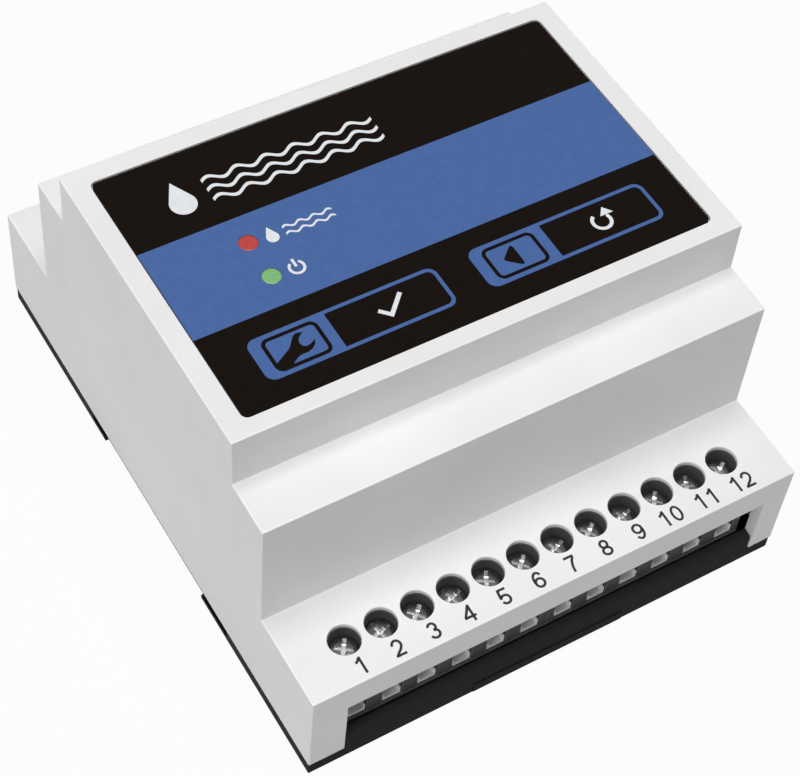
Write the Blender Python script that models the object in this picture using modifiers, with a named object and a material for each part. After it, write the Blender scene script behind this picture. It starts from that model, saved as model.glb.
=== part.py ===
"""Water leak detector for a 35 mm mounting rail: a stepped cover over twelve rising-cage terminals.

Metres. +X runs along the terminals, -Y is the wired side and +Z points out of the nose.
z = 0 is under the feet.
"""

import math

import bmesh
import bpy
from mathutils import Matrix, Vector

# Fits
GAP = 0.0003
BITE = 0.0005
OVERSHOOT = 0.003

# Terminal row, which sets the width: twelve poles and two end margins make four rail modules
PITCH = 0.00508
POLES_PER_BLOCK = 3
BLOCK_COUNT = 4
END_MARGIN = 0.00502

# Cover, from the nose outwards
NOSE_HALF_TOP = 0.02241
NOSE_DRAFT = 0.00019
STEP_TREAD = 0.00733
STEP_DRAFT = 0.00025
LEDGE = 0.01282
WALL = 0.0016
TERMINAL_ROOF = 0.0009
EDGE_ROUND = 0.0004

# Cover, from the feet upwards
PLINTH_Z = 0.0025
SKIRT = 0.01513
LEDGE_SLOPE = 0.00037
STEP_RISE = 0.01865
STEP_SLOPE = 0.00031
NOSE_RISE = 0.00774

# Openings of the cover
FASCIA = 0.00483
SLOT_LEFT_MARGIN = 0.00002
SLOT_RIGHT_MARGIN = 0.00127
HOLE_R = 0.00215
HOLE_RIM = 0.00006
HOLE_RIM_DEPTH = 0.00015
SCREW_INSET = 0.0059

# Base and rail
FOOT_LIP = 0.0008
RAIL_SLOT = 0.0011
FLOOR = 0.0012
PLINTH_INSET_X = 0.0001
PLINTH_INSET_Y = 0.00015
TRAY_WALL = 0.0015
TRAY_RIM = 0.0040
LIP_RISE = 0.00235
LIP_SLOPE = 0.00027
RAIL_HALF = 0.0175
RAIL_GRIP = 0.0033
POCKET_FLOOR = 0.0012

# Latch
LATCH_HALF_X = 0.01145
LATCH_TRAVEL = 0.0035
LATCH_FLANGE = 0.00115
LATCH_FLANGE_LENGTH = 0.0120
LATCH_FLANGE_THICK = 0.0007
LATCH_FIT = 0.0001
LATCH_WINDOW_HALF_X = 0.0016
LATCH_WINDOW_INSET = 0.0050
LATCH_WINDOW_LENGTH = 0.0120
LATCH_POST = 0.0015
TOOL_SLOT_INSET = 0.0012
TOOL_SLOT = 0.0022
SPRING_R = 0.0008
SPRING_WIRE = 0.00022
SPRING_TURNS = 7

# Terminal blocks
BLOCK_DEPTH = 0.0088
BLOCK_SKIRT = 0.0006
WELL_WALL = 0.00044
WELL_DEPTH = 0.0063
FRONT_WALL = 0.0008
DIVIDER = 0.00233
CAGE_FIT = 0.0002
CAGE_SIDE = 0.0005
CAGE_SHOE = 0.0005
CAGE_NUT = 0.0010
CONTACT_BAR = 0.0007
CAGE_TRAVEL = 0.0026
CAGE_DROP = 0.0005
TONGUE_INSET = 0.0001
SHAFT_STEP = 0.00013

# Clamp screws
HEAD_SINK = 0.0021
HEAD_FIT = 0.00022
SCREW_HEAD = 0.0014
SCREW_SHANK_R = 0.00122
THREAD_FIT = 0.0001
SCREW_SIDES = 16
CROSS_WIDTH = 0.00045
CROSS_REACH = 0.0014
CROSS_DEPTH = 0.0007
SCREW_TURNS_DEG = (12, 71, 38, 84, 25, 55, 3, 66, 47, 18, 80, 31)

# Boards
BOARD = 0.0016
DISPLAY_BOARD = 0.0012
DISPLAY_DROP = 0.0065
DISPLAY_MARGIN_X = 0.0029
DISPLAY_MARGIN_Y = 0.0016
POST_MARGIN_X = 0.0035
POST_MARGIN_Y = 0.0034
POST_R = 0.0019
PIN_R = 0.0009

# Label and lamps
LABEL_MARGIN_X = 0.0031
LABEL_MARGIN_Y = 0.00261
LABEL_CORNER = 0.0012
LABEL_THICK = 0.00025
LABEL_SINK = 0.0001
LABEL_SEAT = 0.00025
BAND_BACK_Y = 0.00714
BAND_FRONT_Y = -0.00743
KEY_MARGIN_X = 0.0046
KEY_MARGIN_Y = 0.00301
KEY_SPACE = 0.0023
KEY_SHIFT = 0.00023
KEY_HALF_Y = 0.00322
KEY_TAB_SHARE = 0.406
KEY_LINE = 0.0005
LAMP_INSET_X = 0.01256
SENSOR_LAMP_Y = 0.00289
POWER_LAMP_Y = -0.00295
LAMP_R = 0.00115
LAMP_FIT = 0.00015
GUIDE_FLANGE = 0.0007
LED_R = 0.0015
LED_HEIGHT = 0.0031

# Key switches
SWITCH_SIDE = 0.0060
SWITCH_HEIGHT = 0.0034
PLUNGER_R = 0.00165
PLUNGER_FIT = 0.00015
PLUNGER_TRAVEL = 0.00025
PLUNGER_DEPTH = 0.0012

# Parts on the main board: sizes
TRANSFORMER_SIZE = (0.0275, 0.0225, 0.0205)
RELAY_SIZE = (0.0290, 0.0127, 0.0157)
CAPACITOR_R = 0.0063
CAPACITOR_HEIGHT = 0.0200
RECTIFIER_SIZE = (0.0085, 0.0064, 0.0033)
REGULATOR_SIZE = (0.0100, 0.0045, 0.0150)
FUSE_R = 0.0042
FUSE_HEIGHT = 0.0080
VARISTOR_R = 0.0048
VARISTOR_THICK = 0.0040
CHIP_SIZE = (0.0191, 0.0064, 0.0033)
CHIP_STAND = 0.0005
CHIP_LEGS = 7
HEADER_PINS = 4
HEADER_PITCH = 0.00254
HEADER_PIN = 0.00064
SOCKET_HEIGHT = 0.0085
SOCKET_GRIP = 0.0060

# Parts on the main board: room between them
PART_SPACE = 0.0015
TALL_MARGIN = 0.0024
LOW_ROW_INSET = 0.0055
FUSE_INSET_X = 0.0068
VARISTOR_INSET_X = 0.0170
RECTIFIER_INSET_X = 0.0078

# Outline that follows
POLE_COUNT = BLOCK_COUNT * POLES_PER_BLOCK
ROW_HALF_X = POLE_COUNT * PITCH / 2
COVER_HALF_X = ROW_HALF_X + END_MARGIN
SLOT_LEFT_X = ROW_HALF_X + SLOT_LEFT_MARGIN
SLOT_RIGHT_X = ROW_HALF_X + SLOT_RIGHT_MARGIN
NOSE_HALF_FOOT = NOSE_HALF_TOP + NOSE_DRAFT
STEP_HALF_TOP = NOSE_HALF_FOOT + STEP_TREAD
STEP_HALF_FOOT = STEP_HALF_TOP + STEP_DRAFT
COVER_HALF_Y = STEP_HALF_FOOT + LEDGE
SCREW_Y = -COVER_HALF_Y + SCREW_INSET
INSIDE_X = COVER_HALF_X - WALL
INSIDE_Y = COVER_HALF_Y - WALL
TALL_Y = STEP_HALF_FOOT - WALL - TALL_MARGIN
TRAY_X = INSIDE_X - GAP
TRAY_Y = INSIDE_Y - GAP
CAVITY_X = TRAY_X - TRAY_WALL
CAVITY_Y = TRAY_Y - TRAY_WALL - GAP
BOARD_X = CAVITY_X - GAP
BOARD_Y = CAVITY_Y - GAP
DISPLAY_HALF_X = INSIDE_X - DISPLAY_MARGIN_X
DISPLAY_HALF_Y = NOSE_HALF_FOOT - WALL - DISPLAY_MARGIN_Y
POST_X = DISPLAY_HALF_X - POST_MARGIN_X
POST_Y = DISPLAY_HALF_Y - POST_MARGIN_Y

# Heights that follow
LEDGE_OUTER_Z = PLINTH_Z + SKIRT
LEDGE_INNER_Z = LEDGE_OUTER_Z + LEDGE_SLOPE
STEP_OUTER_Z = LEDGE_INNER_Z + STEP_RISE
STEP_INNER_Z = STEP_OUTER_Z + STEP_SLOPE
TOP_Z = STEP_INNER_Z + NOSE_RISE
ROOF_Z = TOP_Z - WALL
RAIL_SEAT_Z = FOOT_LIP + RAIL_SLOT
FLOOR_Z = RAIL_SEAT_Z + FLOOR
BOARD_Z = FLOOR_Z + GAP
BOARD_TOP = BOARD_Z + BOARD
PART_Z = BOARD_TOP + GAP
TRAY_RIM_Z = PLINTH_Z + TRAY_RIM
LIP_Z = PLINTH_Z + LIP_RISE
DISPLAY_TOP = TOP_Z - DISPLAY_DROP
DISPLAY_Z = DISPLAY_TOP - DISPLAY_BOARD
DISPLAY_PART_Z = DISPLAY_TOP + GAP
LABEL_TOP = TOP_Z - LABEL_SINK
LABEL_Z = LABEL_TOP - LABEL_THICK

# Clamps that follow, from the ledge down to the board
LEDGE_SCREW_Z = LEDGE_OUTER_Z + SCREW_INSET / LEDGE * LEDGE_SLOPE
BLOCK_TOP = LEDGE_OUTER_Z - TERMINAL_ROOF - GAP
HEAD_Z = LEDGE_SCREW_Z - HEAD_SINK - SCREW_HEAD
NUT_TOP = HEAD_Z - GAP - CAGE_TRAVEL
NUT_Z = NUT_TOP - CAGE_NUT
BAR_TOP = NUT_Z - GAP
BAR_Z = BAR_TOP - CONTACT_BAR
CAGE_Z = PART_Z + CAGE_DROP
BLOCK_FRONT = -TRAY_Y
BLOCK_BACK = BLOCK_FRONT + BLOCK_DEPTH
WELL_FRONT = BLOCK_FRONT + FRONT_WALL
WELL_BACK = WELL_FRONT + WELL_DEPTH
WELL_HALF_X = PITCH / 2 - WELL_WALL
ENTRY_HALF_X = (PITCH - DIVIDER) / 2
CAGE_FRONT = WELL_FRONT + GAP
CAGE_BACK = WELL_BACK - GAP - BITE
CAGE_HALF_X = WELL_HALF_X - CAGE_FIT
CONTACT_HALF_X = CAGE_HALF_X - CAGE_SIDE - GAP
TONGUE_HALF_X = ENTRY_HALF_X - CAGE_FIT
TONGUE_FRONT = BLOCK_FRONT + TONGUE_INSET
TRAY_FRONT_Z = PART_Z - BLOCK_SKIRT - GAP
SHAFT_R = HOLE_R - SHAFT_STEP
SCREW_HEAD_R = SHAFT_R - HEAD_FIT

# Latch that follows
RAIL_BACK_ROOT = RAIL_HALF + GAP
RAIL_TIP = RAIL_HALF - RAIL_GRIP
RAIL_FRONT_ROOT = RAIL_BACK_ROOT + LATCH_TRAVEL
LATCH_FRONT = -COVER_HALF_Y
LATCH_TIP = -(RAIL_HALF + 2 * LATCH_FIT)
LATCH_Z = LATCH_FIT
LATCH_TOP = RAIL_SEAT_Z
CHANNEL_TOP = LATCH_TOP + 2 * LATCH_FIT
WINDOW_FRONT = LATCH_FRONT + LATCH_WINDOW_INSET
WINDOW_BACK = WINDOW_FRONT + LATCH_WINDOW_LENGTH
LATCH_POST_FRONT = WINDOW_FRONT + GAP

# Label that follows
LABEL_HALF_X = COVER_HALF_X - LABEL_MARGIN_X
LABEL_HALF_Y = NOSE_HALF_TOP - LABEL_MARGIN_Y
KEY_HALF_X = (LABEL_HALF_X - KEY_MARGIN_X - KEY_SPACE) / 2
KEY_TAB = 2 * KEY_HALF_X * KEY_TAB_SHARE
KEY_Y = -LABEL_HALF_Y + KEY_MARGIN_Y + KEY_HALF_Y
RESET_KEY_X = KEY_SHIFT + KEY_SPACE + KEY_HALF_X
TEST_KEY_X = KEY_SHIFT - KEY_SPACE - KEY_HALF_X
LAMP_X = -LABEL_HALF_X + LAMP_INSET_X

# Places on the main board that follow
TRANSFORMER_AT = (-BOARD_X + PART_SPACE + TRANSFORMER_SIZE[0] / 2, TALL_Y - TRANSFORMER_SIZE[1] / 2)
RELAY_X = BOARD_X - PART_SPACE - RELAY_SIZE[0] / 2
RELAY_1_Y = -TALL_Y + RELAY_SIZE[1] / 2
RELAY_2_Y = RELAY_1_Y + RELAY_SIZE[1] + PART_SPACE
CAPACITOR_X = TRANSFORMER_AT[0] + TRANSFORMER_SIZE[0] / 2 + PART_SPACE + CAPACITOR_R
CAPACITOR_Y = TALL_Y - CAPACITOR_R
REGULATOR_AT = (BOARD_X - PART_SPACE - REGULATOR_SIZE[0] / 2, TALL_Y - REGULATOR_SIZE[1])
LOW_ROW_Y = BOARD_Y - LOW_ROW_INSET
FUSE_X = -BOARD_X + FUSE_INSET_X
VARISTOR_X = -BOARD_X + VARISTOR_INSET_X
RECTIFIER_AT = (BOARD_X - RECTIFIER_INSET_X, LOW_ROW_Y)
CHIP_AT = (-BOARD_X + PART_SPACE + CHIP_SIZE[0] / 2, -TALL_Y + CHIP_SIZE[1])
HEADER_X = RELAY_X - RELAY_SIZE[0] / 2 - PART_SPACE - HEADER_PINS * HEADER_PITCH / 2
HEADER_Y = RELAY_2_Y


# Small tools

def collection(name):
    """A new collection under the scene."""
    made = bpy.data.collections.new(name)
    bpy.context.scene.collection.children.link(made)
    return made


def material(name, colour, roughness, metallic=0.0):
    """A Principled material of one plain colour."""
    made = bpy.data.materials.new(name)
    made.use_nodes = True
    shader = made.node_tree.nodes["Principled BSDF"]
    shader.inputs["Base Color"].default_value = (*colour, 1.0)
    shader.inputs["Roughness"].default_value = roughness
    shader.inputs["Metallic"].default_value = metallic
    made.diffuse_color = (*colour, 1.0)
    return made


def as_object(name, shape, materials=(), cutter=False):
    """The finished bmesh as a named object, in the product's collection or among the cutters."""
    bmesh.ops.recalc_face_normals(shape, faces=shape.faces)
    mesh = bpy.data.meshes.new(name)
    shape.to_mesh(mesh)
    shape.free()
    made = bpy.data.objects.new(name, mesh)
    for each in materials:
        mesh.materials.append(each)
    if cutter:
        CUTTERS.objects.link(made)
        made.hide_render = True
        made.display_type = "WIRE"
    else:
        PRODUCT.objects.link(made)
    return made


def add_box(shape, x, y, z, slot=0):
    """Adds a box that spans the given pairs."""
    size = Matrix.Diagonal((x[1] - x[0], y[1] - y[0], z[1] - z[0], 1.0))
    centre = Matrix.Translation((sum(x) / 2, sum(y) / 2, sum(z) / 2))
    made = bmesh.ops.create_cube(shape, size=1.0, matrix=centre @ size)
    for face in {face for vert in made["verts"] for face in vert.link_faces}:
        face.material_index = slot


def box(name, x, y, z, materials=(), cutter=False):
    """One box as an object."""
    shape = bmesh.new()
    add_box(shape, x, y, z)
    return as_object(name, shape, materials, cutter)


def add_turned(shape, profile, centre, sides, axis="Z"):
    """Adds a solid turned from a profile of radius and height pairs that starts and ends on the axis."""
    before = set(shape.verts)
    verts = [shape.verts.new((radius, 0.0, height)) for radius, height in profile]
    edges = [shape.edges.new(pair) for pair in zip(verts, verts[1:])]
    bmesh.ops.spin(shape, geom=verts + edges, axis=(0, 0, 1), angle=math.tau, steps=sides, use_merge=True)
    made = [vert for vert in shape.verts if vert not in before]
    bmesh.ops.remove_doubles(shape, verts=made, dist=1e-7)
    made = [vert for vert in shape.verts if vert not in before]
    turn = Matrix.Rotation(math.pi / 2, 4, "Y") if axis == "X" else Matrix.Identity(4)
    bmesh.ops.transform(shape, matrix=Matrix.Translation(centre) @ turn, verts=made)


def turned(name, profile, centre, sides, materials=(), cutter=False, axis="Z"):
    """One turned solid as an object whose origin is its centre."""
    shape = bmesh.new()
    add_turned(shape, profile, (0, 0, 0), sides, axis)
    made = as_object(name, shape, materials, cutter)
    made.location = centre
    return made


def pin_profile(radius, bottom, top):
    """The profile of a plain round pin."""
    return [(0, top), (radius, top), (radius, bottom), (0, bottom)]


def add_prism(shape, outline, low, high, axis="X"):
    """Adds a flat outline given depth: y and z pairs along X, or x and y pairs along Z."""
    if axis == "X":
        corners = [shape.verts.new((low, *pair)) for pair in outline]
        depth = Vector((high - low, 0, 0))
    else:
        corners = [shape.verts.new((*pair, low)) for pair in outline]
        depth = Vector((0, 0, high - low))
    grown = bmesh.ops.extrude_face_region(shape, geom=[shape.faces.new(corners)], use_keep_orig=True)
    lifted = [item for item in grown["geom"] if isinstance(item, bmesh.types.BMVert)]
    bmesh.ops.translate(shape, vec=depth, verts=lifted)
    return corners + lifted


def prism(name, outline, low, high, axis="X", materials=(), cutter=False):
    """One extruded outline as an object."""
    shape = bmesh.new()
    add_prism(shape, outline, low, high, axis)
    return as_object(name, shape, materials, cutter)


def rounded(half_x, half_y, corner, steps=5):
    """The outline of a rectangle with round corners."""
    points = []
    for quarter in range(4):
        sign_x = 1 if quarter in (0, 3) else -1
        sign_y = 1 if quarter in (0, 1) else -1
        for step in range(steps + 1):
            angle = math.pi / 2 * (quarter + step / steps)
            x = sign_x * (half_x - corner) + corner * math.cos(angle)
            y = sign_y * (half_y - corner) + corner * math.sin(angle)
            points.append((x, y))
    return points


def bevel(target, width, segments=1):
    """Rounds or chamfers the edges of an object."""
    modifier = target.modifiers.new("Rounded edges", "BEVEL")
    modifier.width = width
    modifier.segments = segments
    modifier.limit_method = "ANGLE"
    modifier.angle_limit = math.radians(40)
    modifier.harden_normals = False


def boolean(target, other, operation):
    """One exact Boolean."""
    modifier = target.modifiers.new(f"{operation.title()} {other.name}", "BOOLEAN")
    modifier.operation = operation
    modifier.solver = "EXACT"
    modifier.material_mode = "TRANSFER"
    modifier.object = other


def cut(target, *others):
    """Takes the other shapes out of the target."""
    for other in others:
        boolean(target, other, "DIFFERENCE")


def fuse(target, *others):
    """Makes the other shapes one with the target."""
    for other in others:
        boolean(target, other, "UNION")


def smooth(target, angle=35):
    """Smooth shading that keeps corners crisp."""
    target.data.shade_smooth()
    target.data.set_sharp_from_angle(angle=math.radians(angle))


def put_origin(target, point):
    """Moves an object's origin to a point and leaves its shape where it is."""
    target.data.transform(Matrix.Translation(-Vector(point)))
    target.location = point


def both(half):
    """A span from minus to plus a half width."""
    return (-half, half)


def both_at(middle, half):
    """A span around a middle."""
    return (middle - half, middle + half)


def pole_x(pole):
    """The place of one pole along the terminals."""
    return (pole - (POLE_COUNT - 1) / 2) * PITCH


# Cover

def stepped_outline(inset, front_roof, top_drop, foot_z):
    """The stepped side view of the cover, or the same view one wall further in."""
    half = [
        (COVER_HALF_Y - inset, foot_z),
        (COVER_HALF_Y - inset, LEDGE_OUTER_Z - top_drop),
        (STEP_HALF_FOOT - inset, LEDGE_INNER_Z - top_drop),
        (STEP_HALF_TOP - inset, STEP_OUTER_Z - top_drop),
        (NOSE_HALF_FOOT - inset, STEP_INNER_Z - top_drop),
        (NOSE_HALF_TOP - inset, TOP_Z - top_drop),
    ]
    front = [(-y, z) for y, z in half]
    front[1] = (front[1][0], LEDGE_OUTER_Z - front_roof)
    front[2] = (front[2][0], LEDGE_INNER_Z - front_roof)
    return front + half[::-1]


def screw_hole_cutter():
    """Twelve round shafts with a small lead-in at the rim."""
    shape = bmesh.new()
    low = -TERMINAL_ROOF - OVERSHOOT
    profile = [
        (0, OVERSHOOT), (HOLE_R + HOLE_RIM, OVERSHOOT), (HOLE_R + HOLE_RIM, 0),
        (HOLE_R, -HOLE_RIM_DEPTH), (HOLE_R, low), (0, low),
    ]
    for pole in range(POLE_COUNT):
        add_turned(shape, profile, (pole_x(pole), SCREW_Y, LEDGE_SCREW_Z), 24)
    return as_object("screw_hole_cutter", shape, cutter=True)


def roof_hole_cutter():
    """The holes in the nose for the lamps and the key plungers."""
    shape = bmesh.new()
    low = ROOF_Z - OVERSHOOT
    for y in (SENSOR_LAMP_Y, POWER_LAMP_Y):
        add_turned(shape, pin_profile(LAMP_R + GAP, low, TOP_Z), (LAMP_X, y, 0), 16)
    for x in (TEST_KEY_X, RESET_KEY_X):
        add_turned(shape, pin_profile(PLUNGER_R + GAP, low, TOP_Z), (x, KEY_Y, 0), 16)
    return as_object("roof_hole_cutter", shape, cutter=True)


def display_posts():
    """Four stepped posts that hang from the nose's roof and carry the display board."""
    shape = bmesh.new()
    profile = [
        (0, ROOF_Z + BITE), (POST_R, ROOF_Z + BITE), (POST_R, DISPLAY_TOP + GAP),
        (PIN_R, DISPLAY_TOP + GAP), (PIN_R, DISPLAY_Z - DISPLAY_BOARD), (0, DISPLAY_Z - DISPLAY_BOARD),
    ]
    for x in both(POST_X):
        for y in both(POST_Y):
            add_turned(shape, profile, (x, y, 0), 12)
    return as_object("display_posts", shape, cutter=True)


def make_cover():
    """The stepped cover: a moulded shell with screw shafts, a wire slot and a sunk seat for the label."""
    outside = stepped_outline(0, 0, 0, PLINTH_Z - OVERSHOOT)
    inside = stepped_outline(WALL, TERMINAL_ROOF, WALL, PLINTH_Z - 2 * OVERSHOOT)
    cover = prism("top_cover", outside, -COVER_HALF_X, COVER_HALF_X, materials=[LIGHT_GREY])
    bevel(cover, EDGE_ROUND, 2)
    hollow = prism("cover_hollow_cutter", inside, -INSIDE_X, INSIDE_X, cutter=True)
    wide = 2 * COVER_HALF_X
    long = 2 * COVER_HALF_Y
    foot = box("cover_foot_cutter", both(wide), both(long), (-wide, PLINTH_Z), cutter=True)
    slot = box(
        "wire_slot_cutter", (-SLOT_LEFT_X, SLOT_RIGHT_X), (-long, -INSIDE_Y + BITE),
        (-long, LEDGE_OUTER_Z - FASCIA), cutter=True,
    )
    seat_outline = rounded(LABEL_HALF_X + GAP, LABEL_HALF_Y + GAP, LABEL_CORNER + GAP)
    seat = prism("label_seat_cutter", seat_outline, LABEL_Z - LABEL_SEAT, TOP_Z + OVERSHOOT, "Z", cutter=True)
    cut(cover, hollow, foot, slot, seat, screw_hole_cutter())
    fuse(cover, display_posts())
    cut(cover, roof_hole_cutter())
    smooth(cover)


# Base

def base_lip():
    """The sloped lip that closes the foot of the wire slot, flush with the plinth."""
    face = -COVER_HALF_Y + PLINTH_INSET_Y
    crest = -TRAY_Y - GAP
    outline = [
        (face, PLINTH_Z - BITE), (face, LIP_Z), (crest, LIP_Z + LIP_SLOPE), (crest, TRAY_FRONT_Z),
        (crest + TRAY_WALL, TRAY_FRONT_Z), (crest + TRAY_WALL, PLINTH_Z - BITE),
    ]
    return prism("base_lip", outline, -SLOT_LEFT_X + GAP, SLOT_RIGHT_X - GAP, cutter=True)


def foot_pockets():
    """The hollows that thin the two feet from above."""
    shape = bmesh.new()
    z = (POCKET_FLOOR, FLOOR_Z + OVERSHOOT)
    side = LATCH_HALF_X + LATCH_FLANGE + 2 * LATCH_FIT + TRAY_WALL
    back = RAIL_BACK_ROOT + TRAY_WALL
    front = RAIL_FRONT_ROOT + TRAY_WALL
    add_box(shape, (-CAVITY_X, -TRAY_WALL / 2), (back, CAVITY_Y), z)
    add_box(shape, (TRAY_WALL / 2, CAVITY_X), (back, CAVITY_Y), z)
    add_box(shape, (-CAVITY_X, -side), (-CAVITY_Y, -front), z)
    add_box(shape, (side, CAVITY_X), (-CAVITY_Y, -front), z)
    return as_object("foot_pocket_cutter", shape, cutter=True)


def rail_channel():
    """The rail's recess with the undercuts that its edges hook into, seen from the side."""
    below = -OVERSHOOT
    outline = [
        (-RAIL_TIP, below), (-RAIL_TIP, FOOT_LIP), (-RAIL_FRONT_ROOT, FOOT_LIP),
        (-RAIL_FRONT_ROOT, RAIL_SEAT_Z), (RAIL_BACK_ROOT, RAIL_SEAT_Z), (RAIL_BACK_ROOT, FOOT_LIP),
        (RAIL_TIP, FOOT_LIP), (RAIL_TIP, below),
    ]
    end = COVER_HALF_X + OVERSHOOT
    return prism("rail_channel_cutter", outline, -end, end, cutter=True)


def latch_channel():
    """The way for the latch through the front foot."""
    wide = LATCH_HALF_X + LATCH_FIT
    return box(
        "latch_channel_cutter", both(wide), (-COVER_HALF_Y - OVERSHOOT, -RAIL_TIP + OVERSHOOT),
        (-OVERSHOOT, CHANNEL_TOP), cutter=True,
    )


def flange_span():
    """Where the latch's side flanges lie along Y at rest."""
    back = -RAIL_FRONT_ROOT - 2 * GAP
    return (back - LATCH_FLANGE_LENGTH, back)


def flange_heights():
    """Where the latch's side flanges lie in height."""
    low = FOOT_LIP + 2 * LATCH_FIT
    return (low, low + LATCH_FLANGE_THICK)


def flange_grooves():
    """The grooves that carry the latch's flanges over their travel."""
    front, back = flange_span()
    low, high = flange_heights()
    wide = LATCH_HALF_X + LATCH_FLANGE + 2 * LATCH_FIT
    return box(
        "flange_groove_cutter", both(wide), (front - LATCH_TRAVEL - GAP, back + GAP),
        (low - LATCH_FIT, high + LATCH_FIT), cutter=True,
    )


def latch_stop():
    """The post that the spring pushes against and that stops the latch."""
    half = LATCH_WINDOW_HALF_X - GAP
    return box(
        "latch_stop", both(half), (LATCH_POST_FRONT, LATCH_POST_FRONT + LATCH_POST),
        (LATCH_Z + GAP, CHANNEL_TOP + BITE), cutter=True,
    )


def make_base():
    """The base tray: plinth, rail recess, latch way, pockets, rim and lip."""
    half_x = COVER_HALF_X - PLINTH_INSET_X
    half_y = COVER_HALF_Y - PLINTH_INSET_Y
    base = box("base_tray", both(half_x), both(half_y), (0, PLINTH_Z), [BLACK])
    bevel(base, EDGE_ROUND / 2, 1)
    rim = box("tray_rim", both(TRAY_X), both(TRAY_Y), (PLINTH_Z - BITE, TRAY_RIM_Z), cutter=True)
    cavity = box(
        "tray_cavity_cutter", both(CAVITY_X), both(CAVITY_Y), (FLOOR_Z, TRAY_RIM_Z + OVERSHOOT), cutter=True,
    )
    front = box(
        "tray_front_cutter", both(2 * COVER_HALF_X), (-2 * COVER_HALF_Y, BLOCK_BACK + GAP),
        (TRAY_FRONT_Z, TRAY_RIM_Z + 2 * OVERSHOOT), cutter=True,
    )
    fuse(base, rim)
    cut(base, cavity, front)
    fuse(base, base_lip())
    cut(base, foot_pockets(), rail_channel(), latch_channel(), flange_grooves())
    fuse(base, latch_stop())


def make_latch():
    """The sliding rail latch, flush with the front, with side flanges and a window for its spring."""
    latch = box("rail_latch", both(LATCH_HALF_X), (LATCH_FRONT, LATCH_TIP), (LATCH_Z, LATCH_TOP), [BLACK])
    flange = box(
        "latch_flange", both(LATCH_HALF_X + LATCH_FLANGE), flange_span(), flange_heights(), cutter=True,
    )
    window = box(
        "latch_window_cutter", both(LATCH_WINDOW_HALF_X), (WINDOW_FRONT, WINDOW_BACK),
        (-OVERSHOOT, LATCH_TOP + OVERSHOOT), cutter=True,
    )
    low = FOOT_LIP + OVERSHOOT
    ramp_outline = [
        (LATCH_TIP + OVERSHOOT, -OVERSHOOT), (LATCH_TIP - low, -OVERSHOOT), (LATCH_TIP, FOOT_LIP),
        (LATCH_TIP + OVERSHOOT, FOOT_LIP),
    ]
    ramp = prism("latch_ramp_cutter", ramp_outline, -COVER_HALF_X, COVER_HALF_X, cutter=True)
    slot_front = LATCH_FRONT + TOOL_SLOT_INSET
    slot = box(
        "latch_tool_slot_cutter", both(LATCH_WINDOW_HALF_X), (slot_front, slot_front + TOOL_SLOT),
        (-OVERSHOOT, LATCH_TOP / 2), cutter=True,
    )
    put_origin(latch, (0, LATCH_FRONT, LATCH_Z))
    fuse(latch, flange)
    cut(latch, window, ramp, slot)


def make_latch_spring():
    """The coil between the stop post and the latch."""
    start = LATCH_POST_FRONT + LATCH_POST + GAP
    end = WINDOW_BACK - GAP
    radius = SPRING_R - SPRING_WIRE
    height = (LATCH_Z + LATCH_TOP) / 2
    curve = bpy.data.curves.new("latch_spring", "CURVE")
    curve.dimensions = "3D"
    curve.bevel_depth = SPRING_WIRE
    curve.bevel_resolution = 1
    curve.use_fill_caps = True
    steps = 12 * SPRING_TURNS
    spline = curve.splines.new("POLY")
    spline.points.add(steps)
    run = end - start - 2 * SPRING_WIRE
    for step, point in enumerate(spline.points):
        angle = math.tau * step * SPRING_TURNS / steps
        x = radius * math.cos(angle)
        z = height + radius * math.sin(angle)
        point.co = (x, start + SPRING_WIRE + run * step / steps, z, 1.0)
    spring = bpy.data.objects.new("latch_spring", curve)
    PRODUCT.objects.link(spring)
    curve.materials.append(STEEL)


# Terminals

def make_block(index):
    """One three-pole terminal block with its contact bars."""
    poles = range(index * POLES_PER_BLOCK, (index + 1) * POLES_PER_BLOCK)
    left = pole_x(poles[0]) - PITCH / 2 + GAP / 2
    right = pole_x(poles[-1]) + PITCH / 2 - GAP / 2
    block = box(
        f"terminal_block_{index + 1}", (left, right), (BLOCK_FRONT, BLOCK_BACK), (PART_Z, BLOCK_TOP),
        [DARK_GREY, NICKEL],
    )
    skirt = box(
        f"block_skirt_{index + 1}", (left, right), (BLOCK_FRONT, -BOARD_Y - GAP),
        (PART_Z - BLOCK_SKIRT, PART_Z + BITE), cutter=True,
    )
    wells = bmesh.new()
    entries = bmesh.new()
    shafts = bmesh.new()
    bars = bmesh.new()
    for pole in poles:
        x = pole_x(pole)
        add_box(wells, (x - WELL_HALF_X, x + WELL_HALF_X), (WELL_FRONT, WELL_BACK), (0, HEAD_Z - GAP))
        add_box(
            entries, (x - ENTRY_HALF_X, x + ENTRY_HALF_X), (BLOCK_FRONT - OVERSHOOT, WELL_FRONT + BITE),
            (PART_Z + GAP, BAR_TOP + GAP),
        )
        add_turned(
            shafts, pin_profile(SHAFT_R, HEAD_Z - GAP - BITE, BLOCK_TOP + OVERSHOOT), (x, SCREW_Y, 0), 16,
        )
        add_box(
            bars, (x - CONTACT_HALF_X, x + CONTACT_HALF_X), (CAGE_FRONT + BITE, WELL_BACK + BITE),
            (BAR_Z, BAR_TOP), slot=1,
        )
    fuse(block, skirt)
    cut(
        block, as_object(f"well_cutter_{index + 1}", wells, cutter=True),
        as_object(f"entry_cutter_{index + 1}", entries, cutter=True),
        as_object(f"shaft_cutter_{index + 1}", shafts, cutter=True),
    )
    fuse(block, as_object(f"contact_bars_{index + 1}", bars, [DARK_GREY, NICKEL], cutter=True))


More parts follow.
